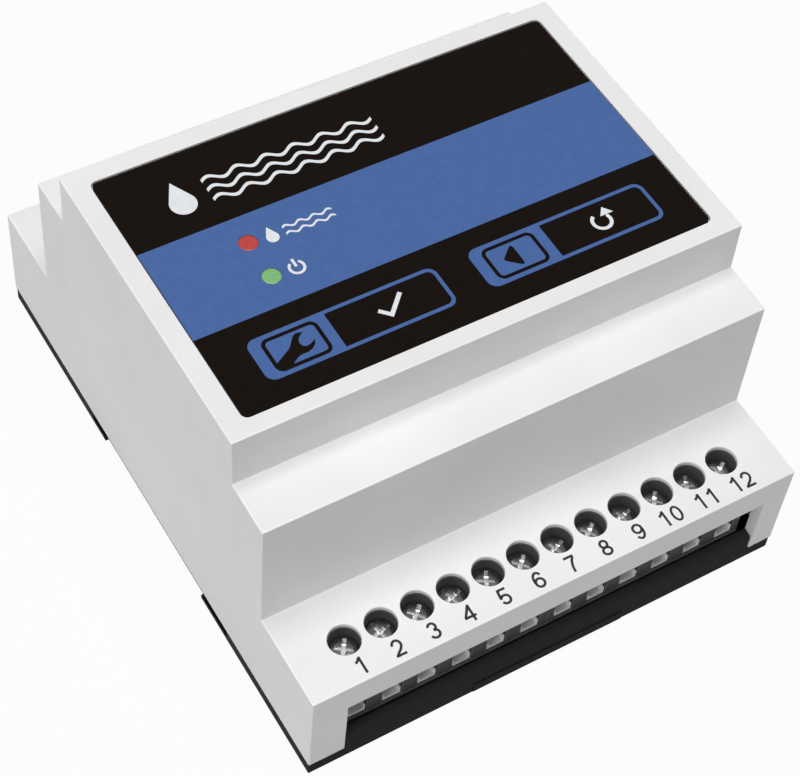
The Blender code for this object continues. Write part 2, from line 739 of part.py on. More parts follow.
def make_cage(pole):
    """One rising cage: a tube with a nut in its roof and a tongue that keeps a wire from going under it."""
    name = f"clamp_cage_{pole + 1:02d}"
    x = pole_x(pole)
    cage = box(name, both_at(x, CAGE_HALF_X), (CAGE_FRONT, CAGE_BACK), (CAGE_Z, NUT_TOP), [NICKEL])
    put_origin(cage, (x, SCREW_Y, CAGE_Z))
    tongue = box(
        f"cage_tongue_{pole + 1:02d}", both_at(x, TONGUE_HALF_X), (TONGUE_FRONT, CAGE_FRONT + BITE),
        (CAGE_Z, CAGE_Z + CAGE_SHOE), cutter=True,
    )
    window = box(
        f"cage_window_cutter_{pole + 1:02d}", both_at(x, CAGE_HALF_X - CAGE_SIDE),
        (CAGE_FRONT - OVERSHOOT, CAGE_BACK + OVERSHOOT), (CAGE_Z + CAGE_SHOE, NUT_Z), cutter=True,
    )
    high = OVERSHOOT / 2
    hole = turned(
        f"cage_nut_cutter_{pole + 1:02d}", pin_profile(SCREW_SHANK_R + THREAD_FIT, -high, high),
        (x, SCREW_Y, NUT_Z + CAGE_NUT / 2), 12, cutter=True,
    )
    fuse(cage, tongue)
    cut(cage, window, hole)


def make_screw(pole):
    """One clamp screw, its origin on its own axis under the head, its cross at its own turn."""
    name = f"clamp_screw_{pole + 1:02d}"
    low = BAR_TOP + GAP - HEAD_Z
    chamfer = SCREW_SHANK_R / 4
    profile = [
        (0, SCREW_HEAD), (SCREW_HEAD_R - chamfer / 2, SCREW_HEAD), (SCREW_HEAD_R, SCREW_HEAD - chamfer / 2),
        (SCREW_HEAD_R, 0), (SCREW_SHANK_R, 0), (SCREW_SHANK_R, low), (0, low),
    ]
    screw = turned(name, profile, (pole_x(pole), SCREW_Y, HEAD_Z), SCREW_SIDES, [ZINC])
    cross = bmesh.new()
    half = CROSS_WIDTH / 2
    reach = CROSS_REACH
    top = (SCREW_HEAD - CROSS_DEPTH, SCREW_HEAD + OVERSHOOT)
    outline = []
    for quarter in range(4):
        for x, y in ((reach, -half), (reach, half), (half, half)):
            point = Matrix.Rotation(quarter * math.pi / 2, 2) @ Vector((x, y))
            outline.append((point.x, point.y))
    add_prism(cross, outline, *top, axis="Z")
    turn = Matrix.Rotation(math.radians(SCREW_TURNS_DEG[pole]), 4, "Z")
    bmesh.ops.transform(cross, matrix=turn, verts=cross.verts)
    cutter = as_object(f"cross_cutter_{pole + 1:02d}", cross, cutter=True)
    cutter.location = screw.location
    cut(screw, cutter)
    smooth(screw)


# Boards and their parts

def make_main_board():
    """The board on the tray's floor."""
    box("main_board", both(BOARD_X), both(BOARD_Y), (BOARD_Z, BOARD_TOP), [BOARD_GREEN])


def make_display_board():
    """The board that hangs on the cover's posts."""
    board = box(
        "display_board", both(DISPLAY_HALF_X), both(DISPLAY_HALF_Y), (DISPLAY_Z, DISPLAY_TOP), [BOARD_GREEN],
    )
    shape = bmesh.new()
    profile = pin_profile(PIN_R + GAP, DISPLAY_Z - OVERSHOOT, DISPLAY_TOP + OVERSHOOT)
    for x in both(POST_X):
        for y in both(POST_Y):
            add_turned(shape, profile, (x, y, 0), 12)
    cut(board, as_object("board_hole_cutter", shape, cutter=True))


def make_switch(name, x):
    """One key switch: a square body with a round plunger that reaches up to the label."""
    half = SWITCH_SIDE / 2
    top = DISPLAY_PART_Z + SWITCH_HEIGHT
    body = box(
        f"{name}_switch_body", both_at(x, half), both_at(KEY_Y, half), (DISPLAY_PART_Z, top), [DARK_GREY],
    )
    bevel(body, EDGE_ROUND / 2)
    well_floor = -PLUNGER_DEPTH - PLUNGER_TRAVEL - GAP
    well = turned(
        f"{name}_switch_well_cutter", pin_profile(PLUNGER_R + PLUNGER_FIT, well_floor, OVERSHOOT),
        (x, KEY_Y, top), 16, cutter=True,
    )
    cut(body, well)
    reach = LABEL_Z - GAP - top
    profile = [
        (0, reach), (PLUNGER_R - EDGE_ROUND, reach), (PLUNGER_R, reach - EDGE_ROUND),
        (PLUNGER_R, -PLUNGER_DEPTH), (0, -PLUNGER_DEPTH),
    ]
    plunger = turned(f"{name}_switch_plunger", profile, (x, KEY_Y, top), 16, [BLACK])
    smooth(plunger)


def make_lamp(name, y, lens, glow):
    """One lamp: a light-emitting diode on the display board and the light guide above it."""
    led_profile = [
        (0, LED_HEIGHT), (LED_R * 0.55, LED_HEIGHT - LED_R * 0.2), (LED_R, LED_HEIGHT - LED_R),
        (LED_R, LED_R / 2), (LED_R * 1.25, LED_R / 2), (LED_R * 1.25, 0), (0, 0),
    ]
    led = turned(f"{name}_led", led_profile, (LAMP_X, y, DISPLAY_PART_Z), 16, [glow])
    smooth(led)
    low = DISPLAY_PART_Z + LED_HEIGHT + GAP
    flange_top = ROOF_Z - GAP
    wide = LAMP_R + GAP + EDGE_ROUND
    guide_profile = [
        (0, LABEL_TOP), (LAMP_R, LABEL_TOP), (LAMP_R, flange_top), (wide, flange_top),
        (wide, flange_top - GUIDE_FLANGE), (LAMP_R, flange_top - GUIDE_FLANGE), (LAMP_R, low), (0, low),
    ]
    guide = turned(f"{name}_light_guide", guide_profile, (LAMP_X, y, 0), 24, [lens])
    smooth(guide)


def make_label():
    """The printed front label: one thin plate whose fields of colour are split by straight cuts."""
    outline = rounded(LABEL_HALF_X, LABEL_HALF_Y, LABEL_CORNER)
    label = prism("front_label", outline, LABEL_Z, LABEL_TOP, "Z", [LABEL_BLACK, LABEL_BLUE])
    keys = [both_at(x, KEY_HALF_X) for x in (TEST_KEY_X, RESET_KEY_X)]
    low, high = KEY_Y - KEY_HALF_Y, KEY_Y + KEY_HALF_Y
    columns = [x for left, right in keys for x in (left, left + KEY_TAB, right - KEY_LINE, right)]
    rows = [low, low + KEY_LINE, high - KEY_LINE, high, BAND_FRONT_Y, BAND_BACK_Y]
    shape = bmesh.new()
    shape.from_mesh(label.data)
    cuts = [(Vector((x, 0, 0)), Vector((1, 0, 0))) for x in columns]
    cuts += [(Vector((0, y, 0)), Vector((0, 1, 0))) for y in rows]
    for point, normal in cuts:
        geometry = shape.verts[:] + shape.edges[:] + shape.faces[:]
        bmesh.ops.bisect_plane(shape, geom=geometry, plane_co=point, plane_no=normal, dist=1e-7)
    for face in shape.faces:
        x, y, _ = face.calc_center_median()
        on_band = BAND_FRONT_Y < y < BAND_BACK_Y
        on_key = any(
            left < x < right and low < y < high
            and not (left + KEY_TAB < x < right - KEY_LINE and low + KEY_LINE < y < high - KEY_LINE)
            for left, right in keys
        )
        face.material_index = int(face.normal.z > 0.5 and (on_band or on_key))
    shape.to_mesh(label.data)
    shape.free()
    holes = bmesh.new()
    profile = pin_profile(LAMP_R + LAMP_FIT, LABEL_Z - OVERSHOOT / 3, LABEL_TOP + OVERSHOOT / 3)
    for y in (SENSOR_LAMP_Y, POWER_LAMP_Y):
        add_turned(holes, profile, (LAMP_X, y, 0), 24)
    cut(label, as_object("lamp_window_cutter", holes, cutter=True))


def make_header():
    """The pin strip on the main board and the socket under the display board that it stands in."""
    x, y = HEADER_X, HEADER_Y
    half = HEADER_PINS * HEADER_PITCH / 2
    deep = HEADER_PITCH / 2
    socket_top = DISPLAY_Z - GAP
    socket_z = socket_top - SOCKET_HEIGHT
    pin_top = socket_z + SOCKET_GRIP
    header = box(
        "board_header", both_at(x, half), both_at(y, deep), (PART_Z, PART_Z + 2 * deep), [BLACK, NICKEL],
    )
    pins = bmesh.new()
    bore = bmesh.new()
    thick = HEADER_PIN / 2
    wide = thick + GAP / 2
    for pin in range(HEADER_PINS):
        pin_x = x - half + (pin + 0.5) * HEADER_PITCH
        add_box(pins, both_at(pin_x, thick), both_at(y, thick), (PART_Z + deep, pin_top), slot=1)
        add_box(bore, both_at(pin_x, wide), both_at(y, wide), (socket_z - OVERSHOOT, pin_top + GAP))
    fuse(header, as_object("header_pins", pins, [BLACK, NICKEL], cutter=True))
    socket = box("board_socket", both_at(x, half), both_at(y, deep), (socket_z, socket_top), [BLACK])
    cut(socket, as_object("socket_bore_cutter", bore, cutter=True))


def make_block_part(name, centre, size, chamfer, materials):
    """A part with a plain moulded case that stands on the main board."""
    x, y = centre
    part = box(
        name, both_at(x, size[0] / 2), both_at(y, size[1] / 2), (PART_Z, PART_Z + size[2]), materials,
    )
    bevel(part, chamfer, 1)
    return part


def make_transformer():
    """A potted transformer with its raised winding chamber."""
    x, y = TRANSFORMER_AT
    long, deep, tall = TRANSFORMER_SIZE
    part = make_block_part("transformer", TRANSFORMER_AT, TRANSFORMER_SIZE, 0.0008, [DARK_GREY])
    step = box(
        "transformer_step_cutter", both_at(x, long), (y + deep / 4, y + deep),
        (PART_Z + tall * 0.8, PART_Z + 2 * tall), cutter=True,
    )
    cut(part, step)


def make_capacitor():
    """The supply capacitor: a sleeved can with a rolled groove."""
    radius, tall = CAPACITOR_R, CAPACITOR_HEIGHT
    groove = tall * 0.1
    profile = [
        (0, tall), (radius - EDGE_ROUND, tall), (radius, tall - EDGE_ROUND), (radius, 2 * groove),
        (radius - EDGE_ROUND, 1.5 * groove), (radius, groove), (radius, 0), (0, 0),
    ]
    part = turned("supply_capacitor", profile, (CAPACITOR_X, CAPACITOR_Y, PART_Z), 24, [SLEEVE_BLUE])
    smooth(part)


def make_fuse():
    """A small round fuse."""
    radius, tall = FUSE_R, FUSE_HEIGHT
    profile = [(0, tall), (radius - EDGE_ROUND, tall), (radius, tall - EDGE_ROUND), (radius, 0), (0, 0)]
    part = turned("fuse", profile, (FUSE_X, LOW_ROW_Y, PART_Z), 20, [BLACK])
    smooth(part)


def make_varistor():
    """A disc on edge that guards the supply."""
    radius, thick = VARISTOR_R, VARISTOR_THICK
    profile = [
        (0, thick / 2), (radius * 0.8, thick / 2), (radius, thick / 5), (radius, -thick / 5),
        (radius * 0.8, -thick / 2), (0, -thick / 2),
    ]
    part = turned("varistor", profile, (VARISTOR_X, LOW_ROW_Y, PART_Z + radius), 20, [SLEEVE_BLUE], axis="X")
    smooth(part)


def make_regulator():
    """A voltage regulator that stands up, with its metal tab."""
    x, y = REGULATOR_AT
    wide, deep, tall = REGULATOR_SIZE
    body = box(
        "voltage_regulator", both_at(x, wide / 2), both_at(y, deep / 2), (PART_Z, PART_Z + tall * 0.6),
        [BLACK, NICKEL],
    )
    shape = bmesh.new()
    tab_back = y + deep / 2 + deep / 8
    add_box(shape, both_at(x, wide / 2), (y, tab_back), (PART_Z + tall * 0.2, PART_Z + tall), slot=1)
    tab = as_object("regulator_tab", shape, [BLACK, NICKEL], cutter=True)
    hole = turned(
        "regulator_hole_cutter", pin_profile(wide * 0.18, -deep, deep), (x, y, PART_Z + tall * 0.8), 16,
        cutter=True,
    )
    hole.rotation_euler = (math.pi / 2, 0, 0)
    fuse(body, tab)
    cut(body, hole)


def make_chip():
    """The controller in a two-row case."""
    x, y = CHIP_AT
    long, wide, tall = CHIP_SIZE
    low = PART_Z + CHIP_STAND
    chip = box(
        "controller_chip", both_at(x, long / 2), both_at(y, wide / 2), (low, low + tall), [BLACK, NICKEL],
    )
    legs = bmesh.new()
    spacing = long / CHIP_LEGS
    thick = spacing / 5
    for leg in range(CHIP_LEGS):
        leg_x = x - long / 2 + (leg + 0.5) * spacing
        for row in (y - wide / 2, y + wide / 2):
            add_box(legs, both_at(leg_x, thick), both_at(row, BITE), (PART_Z, low + tall / 2), slot=1)
    fuse(chip, as_object("chip_legs", legs, [BLACK, NICKEL], cutter=True))


# Scene
for old in list(bpy.data.objects):
    bpy.data.objects.remove(old)
PRODUCT = collection("water_leak_sensor")
CUTTERS = collection("cutters")

LIGHT_GREY = material("light_grey_housing", (0.84, 0.87, 0.87), 0.45)
BLACK = material("black_moulding", (0.018, 0.017, 0.016), 0.5)
DARK_GREY = material("dark_grey_moulding", (0.055, 0.055, 0.055), 0.5)
NICKEL = material("nickelled_metal", (0.62, 0.60, 0.57), 0.3, 1.0)
ZINC = material("zinc_screw", (0.66, 0.66, 0.66), 0.28, 1.0)
STEEL = material("spring_steel", (0.5, 0.5, 0.5), 0.3, 1.0)
LABEL_BLACK = material("label_black", (0.012, 0.010, 0.008), 0.4)
LABEL_BLUE = material("label_blue", (0.076, 0.150, 0.381), 0.4)
LENS_RED = material("lens_red", (0.491, 0.061, 0.054), 0.3)
LENS_GREEN = material("lens_green", (0.216, 0.474, 0.191), 0.3)
LED_CLEAR = material("diode_clear", (0.75, 0.75, 0.72), 0.2)
BOARD_GREEN = material("board_green", (0.02, 0.16, 0.07), 0.4)
RELAY_BLUE = material("relay_case", (0.03, 0.08, 0.2), 0.4)
SLEEVE_BLUE = material("sleeve_blue", (0.03, 0.06, 0.18), 0.35)

make_cover()
make_base()
make_latch()
make_latch_spring()
for block_index in range(BLOCK_COUNT):
    make_block(block_index)
for pole_index in range(POLE_COUNT):
    make_cage(pole_index)
    make_screw(pole_index)
make_main_board()
make_display_board()
make_switch("test", TEST_KEY_X)
make_switch("reset", RESET_KEY_X)
make_lamp("sensor", SENSOR_LAMP_Y, LENS_RED, LED_CLEAR)
make_lamp("power", POWER_LAMP_Y, LENS_GREEN, LED_CLEAR)
make_label()
make_header()
make_transformer()
for number, relay_y in enumerate((RELAY_1_Y, RELAY_2_Y), 1):
    make_block_part(f"alarm_relay_{number}", (RELAY_X, relay_y), RELAY_SIZE, 0.0006, [RELAY_BLUE])
make_capacitor()
make_block_part("rectifier_bridge", RECTIFIER_AT, RECTIFIER_SIZE, 0.0005, [BLACK])
make_regulator()
make_fuse()
make_varistor()
make_chip()
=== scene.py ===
import math

import bmesh
import bpy
from mathutils import Matrix, Vector


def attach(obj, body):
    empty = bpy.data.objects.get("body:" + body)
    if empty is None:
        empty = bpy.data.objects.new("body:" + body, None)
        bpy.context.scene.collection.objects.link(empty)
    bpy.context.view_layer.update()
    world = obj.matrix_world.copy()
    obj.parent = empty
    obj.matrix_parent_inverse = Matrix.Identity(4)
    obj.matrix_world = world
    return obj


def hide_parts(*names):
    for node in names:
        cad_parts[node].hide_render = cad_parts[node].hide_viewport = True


# The looks of the water leak detector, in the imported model's frame.
# Shapes are drawn in millimetres and brought to metres when they are placed.
# +X runs along the terminals, -Y is the wired side and +Z points out of the nose.

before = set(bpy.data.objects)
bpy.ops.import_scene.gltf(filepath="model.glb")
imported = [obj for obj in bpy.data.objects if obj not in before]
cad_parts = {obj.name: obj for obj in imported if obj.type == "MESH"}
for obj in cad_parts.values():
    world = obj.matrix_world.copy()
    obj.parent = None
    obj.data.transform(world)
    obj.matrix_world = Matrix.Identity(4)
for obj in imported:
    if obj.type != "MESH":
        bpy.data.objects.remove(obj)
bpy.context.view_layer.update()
MM = 0.001

# Housing
HALF_X = 35.5
HALF_Y = 43.0
NOSE_TOP, NOSE_FOOT = 22.41, 22.60
STEP_TOP, STEP_FOOT = 29.93, 30.18
FOOT_Z = 2.5
LEDGE_LOW, LEDGE_HIGH = 17.63, 18.0
STEP_LOW, STEP_HIGH = 36.65, 36.96
TOP_Z = 44.7
WALL = 1.6
ROOF = 0.9
SLOT_X = (-30.5, 31.75)
SLOT_TOP = 12.8
EDGE_ROUND = 0.16
SEAT_Z = 44.1
SEAT_GAP = 0.3
SEAT_CORNER = 0.95
LAMP_BORE_R = 1.45
KEY_BORE_R = 1.95
BELOW, ABOVE, BESIDE = -60, 50, 90  # far enough to cut right through the housing

# Terminals
PITCH = 5.08
POLES = 12
SCREW_Y = -37.1
SCREW_Z = 17.80
HOLE_R = 2.10
HOLE_LIP = 0.55
HOLE_RELIEF_R = HOLE_R + 0.35
SHAFT_R = 2.02
COLLAR_R = SHAFT_R + 0.38
COLLAR_Z = (15.9, 17.2)
HEAD_Z = 14.30
HEAD_R = 1.80
HEAD_HIGH = 1.40
SHANK_R = 1.22
SHANK_LOW = 10.4
THREAD_TURNS = 6
THREAD_DEPTH = 0.2
SCREW_TURNS = (55, 14, 42, 16, 60, 44, 20, 37, 13, 50, 62, 27)
POLES_A_BLOCK = 3
BLOCK_Y = (-41.1, -32.3)
BLOCK_Z = (5.3, 16.43)
BLOCK_GAP = 0.03
SKIRT_LOW, SKIRT_BACK = 4.7, -39.3
SILL_Y = (-41.15, -40.9)
SILL_Z = (5.08, 5.36)
ENTRY_Z = (5.6, 10.4)
MOUTH_Y = (-41.2, -40.88)
MOUTH_WIDER, MOUTH_LOWER, MOUTH_HIGHER = 0.16, 0.22, 0.15
BAR_Z = (9.4, 10.1)
BAR_HALF = 1.1
WELL_Y = (-40.3, -34.0)
WELL_HALF = 2.10
ENTRY_HALF = 1.375
CAGE_HALF = 1.90
CAGE_Y = (-40.0, -34.8)
CAGE_Z = (5.8, 11.4)
CAGE_WINDOW = (6.3, 10.4)
CAGE_SIDE = 0.5
TONGUE_HALF = 1.3
TONGUE_FRONT = -41.0
TONGUE_RIM = 0.85
WELL_TOP = 14.15

# Label
LABEL_X = 32.4
LABEL_Y = 19.8
FILM_GROWTH = 0.1
FILM_CORNER = 0.75
LABEL_Z = 44.35
LABEL_TOP = 44.6
INK = 0.006
BAND_Y = (-7.43, 7.14)
KEYS = (-14.82, 15.28)
KEY_Y = -13.57
KEY_HALF = (12.75, 3.22)
KEY_TAB = 10.35
KEY_LINE = 0.5
PICTURE_X = 5.27
PICTURE_HALF = (3.72, 2.6)
LAMP_X = -19.84
LAMPS = {"sensor": 2.89, "power": -2.95}
LAMP_WINDOW_R = 1.24

# Numbers on the ledge
DIGIT_FOOT = -42.18
DIGIT_SHIFT = 0.12
DIGIT_SHIFTS = (0.0, -0.05, -0.13, -0.2, -0.22, -0.33, -0.46, -0.5, -0.5, -0.7, -0.2, 0.28)
DIGIT_ADVANCE = 1.84
DIGIT_LINE = 0.34
DIGIT_HALF_THICK = 0.01

# Base and latch
BASE_HALF_X, BASE_HALF_Y = 35.4, 42.85
RIM_HALF_X, RIM_HALF_Y = 33.6, 41.1
CAVITY_HALF_X, CAVITY_HALF_Y = 32.1, 39.3
RAIL_SEAT_Z = 1.9
RAIL_LIP_Z = 0.8
LATCH_HALF = 11.45
LATCH_Y = (-42.94, -17.7)
LATCH_LOW = 0.1
POST_Y = (-37.7, -36.2)

# Studio
FLOOR_GREY = 0.60
FLOOR_WHITE_SHARE = 0.955
FILL, BACKDROP = 0.15, 1.0
AIM = (0, 0, 0.02)


# Colours and finishes

def tone(red, green, blue):
    """A colour given in display values as the linear values that a shader takes."""
    shares = [value / 255 for value in (red, green, blue)]
    return tuple(((c + 0.055) / 1.055) ** 2.4 if c > 0.04045 else c / 12.92 for c in shares) + (1.0,)


def scaled(colour, factor, lift=0.0):
    """A linear colour made lighter or darker, up to white."""
    return tuple(min(1.0, c * factor + lift) for c in colour[:3]) + (1.0,)


class Finish:
    """One Principled material, with short calls that wire its nodes. Sizes are in millimetres."""

    def __init__(self, name, **constants):
        self.material = bpy.data.materials.new(name)
        self.material.use_nodes = True
        self.tree = self.material.node_tree
        self.shader = self.tree.nodes["Principled BSDF"]
        for socket, value in constants.items():
            self.shader.inputs[socket.replace("_", " ")].default_value = value
        self.place = self.tree.nodes.new("ShaderNodeTexCoord").outputs["Object"]

    def node(self, kind, inputs=None, **settings):
        """A new node whose inputs are linked or set."""
        made = self.tree.nodes.new("ShaderNode" + kind)
        for key, value in settings.items():
            setattr(made, key, value)
        for key, value in (inputs or {}).items():
            if isinstance(value, bpy.types.NodeSocket):
                self.tree.links.new(value, made.inputs[key])
            else:
                made.inputs[key].default_value = value
        return made

    def noise(self, size, detail=2.0, rough=0.5, stretch=(1, 1, 1)):
        """Soft random values with features of about the given size."""
        mapped = self.node("Mapping", {"Vector": self.place, "Scale": stretch})
        made = self.node("TexNoise", {
            "Vector": mapped.outputs[0], "Scale": 1 / (size * MM), "Detail": detail, "Roughness": rough,
        })
        return made.outputs[0]

    def cells(self, size):
        """Random cells of about the given size."""
        made = self.node("TexVoronoi", {"Vector": self.place, "Scale": 1 / (size * MM)})
        return made.outputs["Distance"]

    def map(self, value, from_low, from_high, low, high):
        """Values moved from one range to another."""
        made = self.node("MapRange", {
            "Value": value, "From Min": from_low, "From Max": from_high, "To Min": low, "To Max": high,
        })
        return made.outputs[0]

    def share(self, value, low, high):
        """Values between two bounds as 0 to 1."""
        return self.map(value, low, high, 0.0, 1.0)

    def math(self, operation, first, second):
        """One arithmetic step."""
        return self.node("Math", {0: first, 1: second}, operation=operation).outputs[0]

    def mix(self, factor, first, second):
        """A blend of two colours."""
        made = self.node("Mix", {0: factor, 6: first, 7: second}, data_type="RGBA")
        return made.outputs[2]

    def edges(self, radius):
        """About 1 along outer and inner edges and 0 on flat faces."""
        soft = self.node("Bevel", {"Radius": radius * MM}, samples=4).outputs[0]
        flat = self.node("NewGeometry").outputs["Normal"]
        turned = self.node("VectorMath", {0: soft, 1: flat}, operation="DOT_PRODUCT").outputs["Value"]
        return self.share(turned, 0.995, 0.86)

    def bump(self, height, depth):
        """Relief of the given depth."""
        return self.node("Bump", {"Height": height, "Strength": 1.0, "Distance": depth * MM}).outputs[0]

    def set(self, socket, value):
        """Wires a value to the shader."""
        self.tree.links.new(value, self.shader.inputs[socket])


def moulding(name, colour, rough, grain=0.16, wear_and_highlight=0.35, bright=0.10, cloud=0.03, gloss=0.5):
    """Moulded plastic: fine spark-eroded grain, faint flow clouds, and edges lightened, partly as
    handling wear and partly as a painted highlight.
    """
    finish = Finish(name, IOR=1.46, Specular_IOR_Level=gloss)
    base = tone(*colour)
    clouds = finish.share(finish.noise(14.0, 3.0), 0.3, 0.7)
    tinted = finish.mix(clouds, scaled(base, 1 - cloud), scaled(base, 1 + cloud))
    # Edges are lightened towards white: handling wear together with a painted highlight for light
    # caught on rounded edges.
    lightened = finish.edges(0.22)
    scuffs = finish.map(finish.noise(1.3, 4.0, 0.65), 0.42, 0.68, 0.2, 1.0)
    worn_and_highlit = finish.math("MULTIPLY", finish.math("MULTIPLY", lightened, scuffs), wear_and_highlight)
    polished_and_highlit = tuple(min(1.0, c + (1 - c) * bright) for c in base[:3]) + (1.0,)
    finish.set("Base Color", finish.mix(worn_and_highlit, tinted, polished_and_highlit))
    speck = finish.map(finish.noise(0.5, 2.0), 0.3, 0.7, rough - 0.05, rough + 0.06)
    finish.set("Roughness", finish.math("SUBTRACT", speck, finish.math("MULTIPLY", worn_and_highlit, 0.25)))
    fine = finish.noise(grain, 2.0, 0.6)
    pits = finish.share(finish.cells(grain * 2.2), 0.0, 0.6)
    relief = finish.math("ADD", fine, finish.math("MULTIPLY", pits, 0.5))
    finish.set("Normal", finish.bump(relief, 0.004))
    return finish.material


def metal(name, colour, rough, stretch=(1, 1, 1), stain=0.12, metallic=1.0, crown=None, face=None):
    """Plated metal: drawn lines, small stains, duller patches and, above the crown, a darker face that
    is painted shade of the hole the head sits in.
    """
    finish = Finish(name, Metallic=metallic)
    base = tone(*colour)
    patches = finish.share(finish.noise(1.2, 4.0, 0.6), 0.35, 0.7)
    plated = finish.mix(patches, base, scaled(base, 1 - stain))
    # The face above the crown is painted darker: painted shade.
    if crown:
        height = finish.node("SeparateXYZ", {0: finish.place}).outputs["Z"]
        shaded_top = finish.share(height, (crown - 0.06) * MM, (crown - 0.02) * MM)
        plated = finish.mix(shaded_top, plated, tone(*face))
    finish.set("Base Color", plated)
    lines = finish.noise(0.12, 3.0, 0.6, stretch)
    finish.set("Roughness", finish.map(lines, 0.25, 0.75, rough * 0.75, rough * 1.35))
    finish.set("Normal", finish.bump(lines, 0.0025))
    return finish.material


def film(name, colour, rough=0.42):
    """Printed polyester film: a fine matt texture, faint ink mottle and a few light scratches."""
    finish = Finish(name, IOR=1.45, Specular_IOR_Level=0.02)
    base = tone(*colour)
    mottle = finish.share(finish.noise(0.9, 3.0, 0.6), 0.35, 0.65)
    scratch = finish.noise(0.35, 2.0, 0.5, (1.0, 0.04, 1.0))
    marks = finish.math("MAXIMUM", mottle, finish.map(scratch, 0.70, 0.76, 0.0, 0.5))
    finish.set("Base Color", finish.mix(marks, base, scaled(base, 1.07, 0.0008)))
    finish.set("Roughness", finish.map(finish.noise(0.4, 3.0), 0.3, 0.7, rough - 0.06, rough + 0.08))
    finish.set("Normal", finish.bump(finish.noise(0.11, 2.0, 0.6), 0.0012))
    return finish.material


def lens(name, colour):
    """Diffusing light guide: tinted plastic with a slightly paler core and fine bubbles."""
    finish = Finish(name, IOR=1.49, Specular_IOR_Level=0.25, Subsurface_Weight=0.15)
    finish.shader.inputs["Subsurface Radius"].default_value = (0.0004, 0.0003, 0.0003)
    base = tone(*colour)
    core = finish.share(finish.noise(0.5, 3.0), 0.35, 0.65)
    finish.set("Base Color", finish.mix(core, base, scaled(base, 1.10, 0.005)))
    finish.set("Roughness", finish.map(finish.noise(0.25, 2.0), 0.3, 0.7, 0.28, 0.42))
    finish.set("Normal", finish.bump(finish.cells(0.22), 0.0015))
    return finish.material


def solder_mask(name):
    """Circuit board: green mask over copper tracks, with the glass weave faintly showing."""
    finish = Finish(name, Coat_Weight=0.5, Coat_Roughness=0.15, IOR=1.5)
    tracks = finish.node("TexBrick", {
        "Vector": finish.place, "Scale": 1 / (2.4 * MM), "Mortar Size": 0.06, "Mortar Smooth": 0.1,
        "Brick Width": 1.7, "Row Height": 0.55,
    })
    warp, weft = (finish.noise(0.3, 1.0, 0.5, way) for way in ((1, 0.2, 1), (0.2, 1, 1)))
    weave = finish.share(finish.math("MULTIPLY", warp, weft), 0.1, 0.5)
    bare = finish.mix(weave, tone(22, 92, 52), tone(30, 108, 62))
    finish.set("Base Color", finish.mix(tracks.outputs["Fac"], bare, tone(52, 138, 84)))
    finish.set("Roughness", finish.map(finish.noise(0.8, 2.0), 0.3, 0.7, 0.3, 0.42))
    finish.set("Normal", finish.bump(tracks.outputs["Fac"], 0.02))
    return finish.material


# The housing's edges are lightened strongly, mostly as a painted highlight.
HOUSING = moulding("finish_light_grey_housing", (240, 240, 241), 0.42, wear_and_highlight=0.9, bright=1.0)
# A near-white copy of the housing colour for its rounded edges: a painted highlight.
PAINTED_EDGE_HIGHLIGHT = moulding("finish_housing_painted_edge_highlight", (253, 253, 253), 0.3, grain=0.3, bright=1.0, cloud=0.01)
BLACK = moulding("finish_black_moulding", (25, 24, 22), 0.55, bright=0.01, gloss=0.03)
# A lighter copy of the black moulding for the lip's slope: painted light where the fascia shades it.
LIP_PAINTED_LIGHT = moulding("finish_lip_painted_light", (52, 51, 49), 0.5, bright=0.02, gloss=0.03)
DARK = moulding(
    "finish_dark_grey_moulding", (76, 76, 77), 0.5, grain=0.12, wear_and_highlight=1.0, bright=0.3, gloss=0.2,
)
# A lighter copy of the dark moulding for the sill: a painted highlight along the block's lower front
# edge.
SILL_PAINTED_HIGHLIGHT = moulding("finish_sill_painted_highlight", (112, 112, 114), 0.4, grain=0.12, wear_and_highlight=0.8, bright=0.2, gloss=0.3)
NICKEL = metal("finish_nickelled_metal", (255, 255, 255), 0.4, (1, 0.15, 1), stain=0.05, metallic=0.1)
# The screw heads' top faces are painted dark grey, a painted shade of their deep holes.
ZINC = metal(
    "finish_zinc_screw", (232, 232, 233), 0.2, stain=0.1, crown=HEAD_HIGH, face=(108, 108, 109),
)
STEEL = metal("finish_spring_steel", (150, 150, 152), 0.3, (1, 0.1, 1))
INK_BLACK = film("finish_label_black", (23, 17, 13))
INK_BLUE = film("finish_label_blue", (77, 107, 165))
INK_WHITE = film("finish_label_white", (232, 235, 238))
INK_GREY = film("finish_ledge_print", (62, 63, 65), 0.5)
RED = lens("finish_lens_red", (188, 64, 58))
GREEN = lens("finish_lens_green", (126, 182, 118))
CLEAR = lens("finish_diode_clear", (214, 214, 208))
MASK = solder_mask("finish_board_green")
RELAY = moulding("finish_relay_case", (38, 66, 120), 0.4, grain=0.3)
SLEEVE = moulding("finish_sleeve_blue", (44, 62, 108), 0.34, grain=0.4)

FINISHES = {
    "light_grey_housing": HOUSING, "black_moulding": BLACK, "dark_grey_moulding": DARK,
    "nickelled_metal": NICKEL, "zinc_screw": ZINC, "spring_steel": STEEL, "label_black": INK_BLACK,
    "label_blue": INK_BLUE, "lens_red": RED, "lens_green": GREEN, "diode_clear": CLEAR,
    "board_green": MASK, "relay_case": RELAY, "sleeve_blue": SLEEVE,
}

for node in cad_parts.values():
    for slot in node.material_slots:
        slot.material = FINISHES[slot.material.name.split(".")[0]]


# Small tools

def as_object(name, shape, *finishes):
    """The finished bmesh as an object."""
    bmesh.ops.recalc_face_normals(shape, faces=shape.faces)
    mesh = bpy.data.meshes.new(name)
    shape.to_mesh(mesh)
    shape.free()
    for finish in finishes:
        mesh.materials.append(finish)
    made = bpy.data.objects.new(name, mesh)
    bpy.context.scene.collection.objects.link(made)
    return made


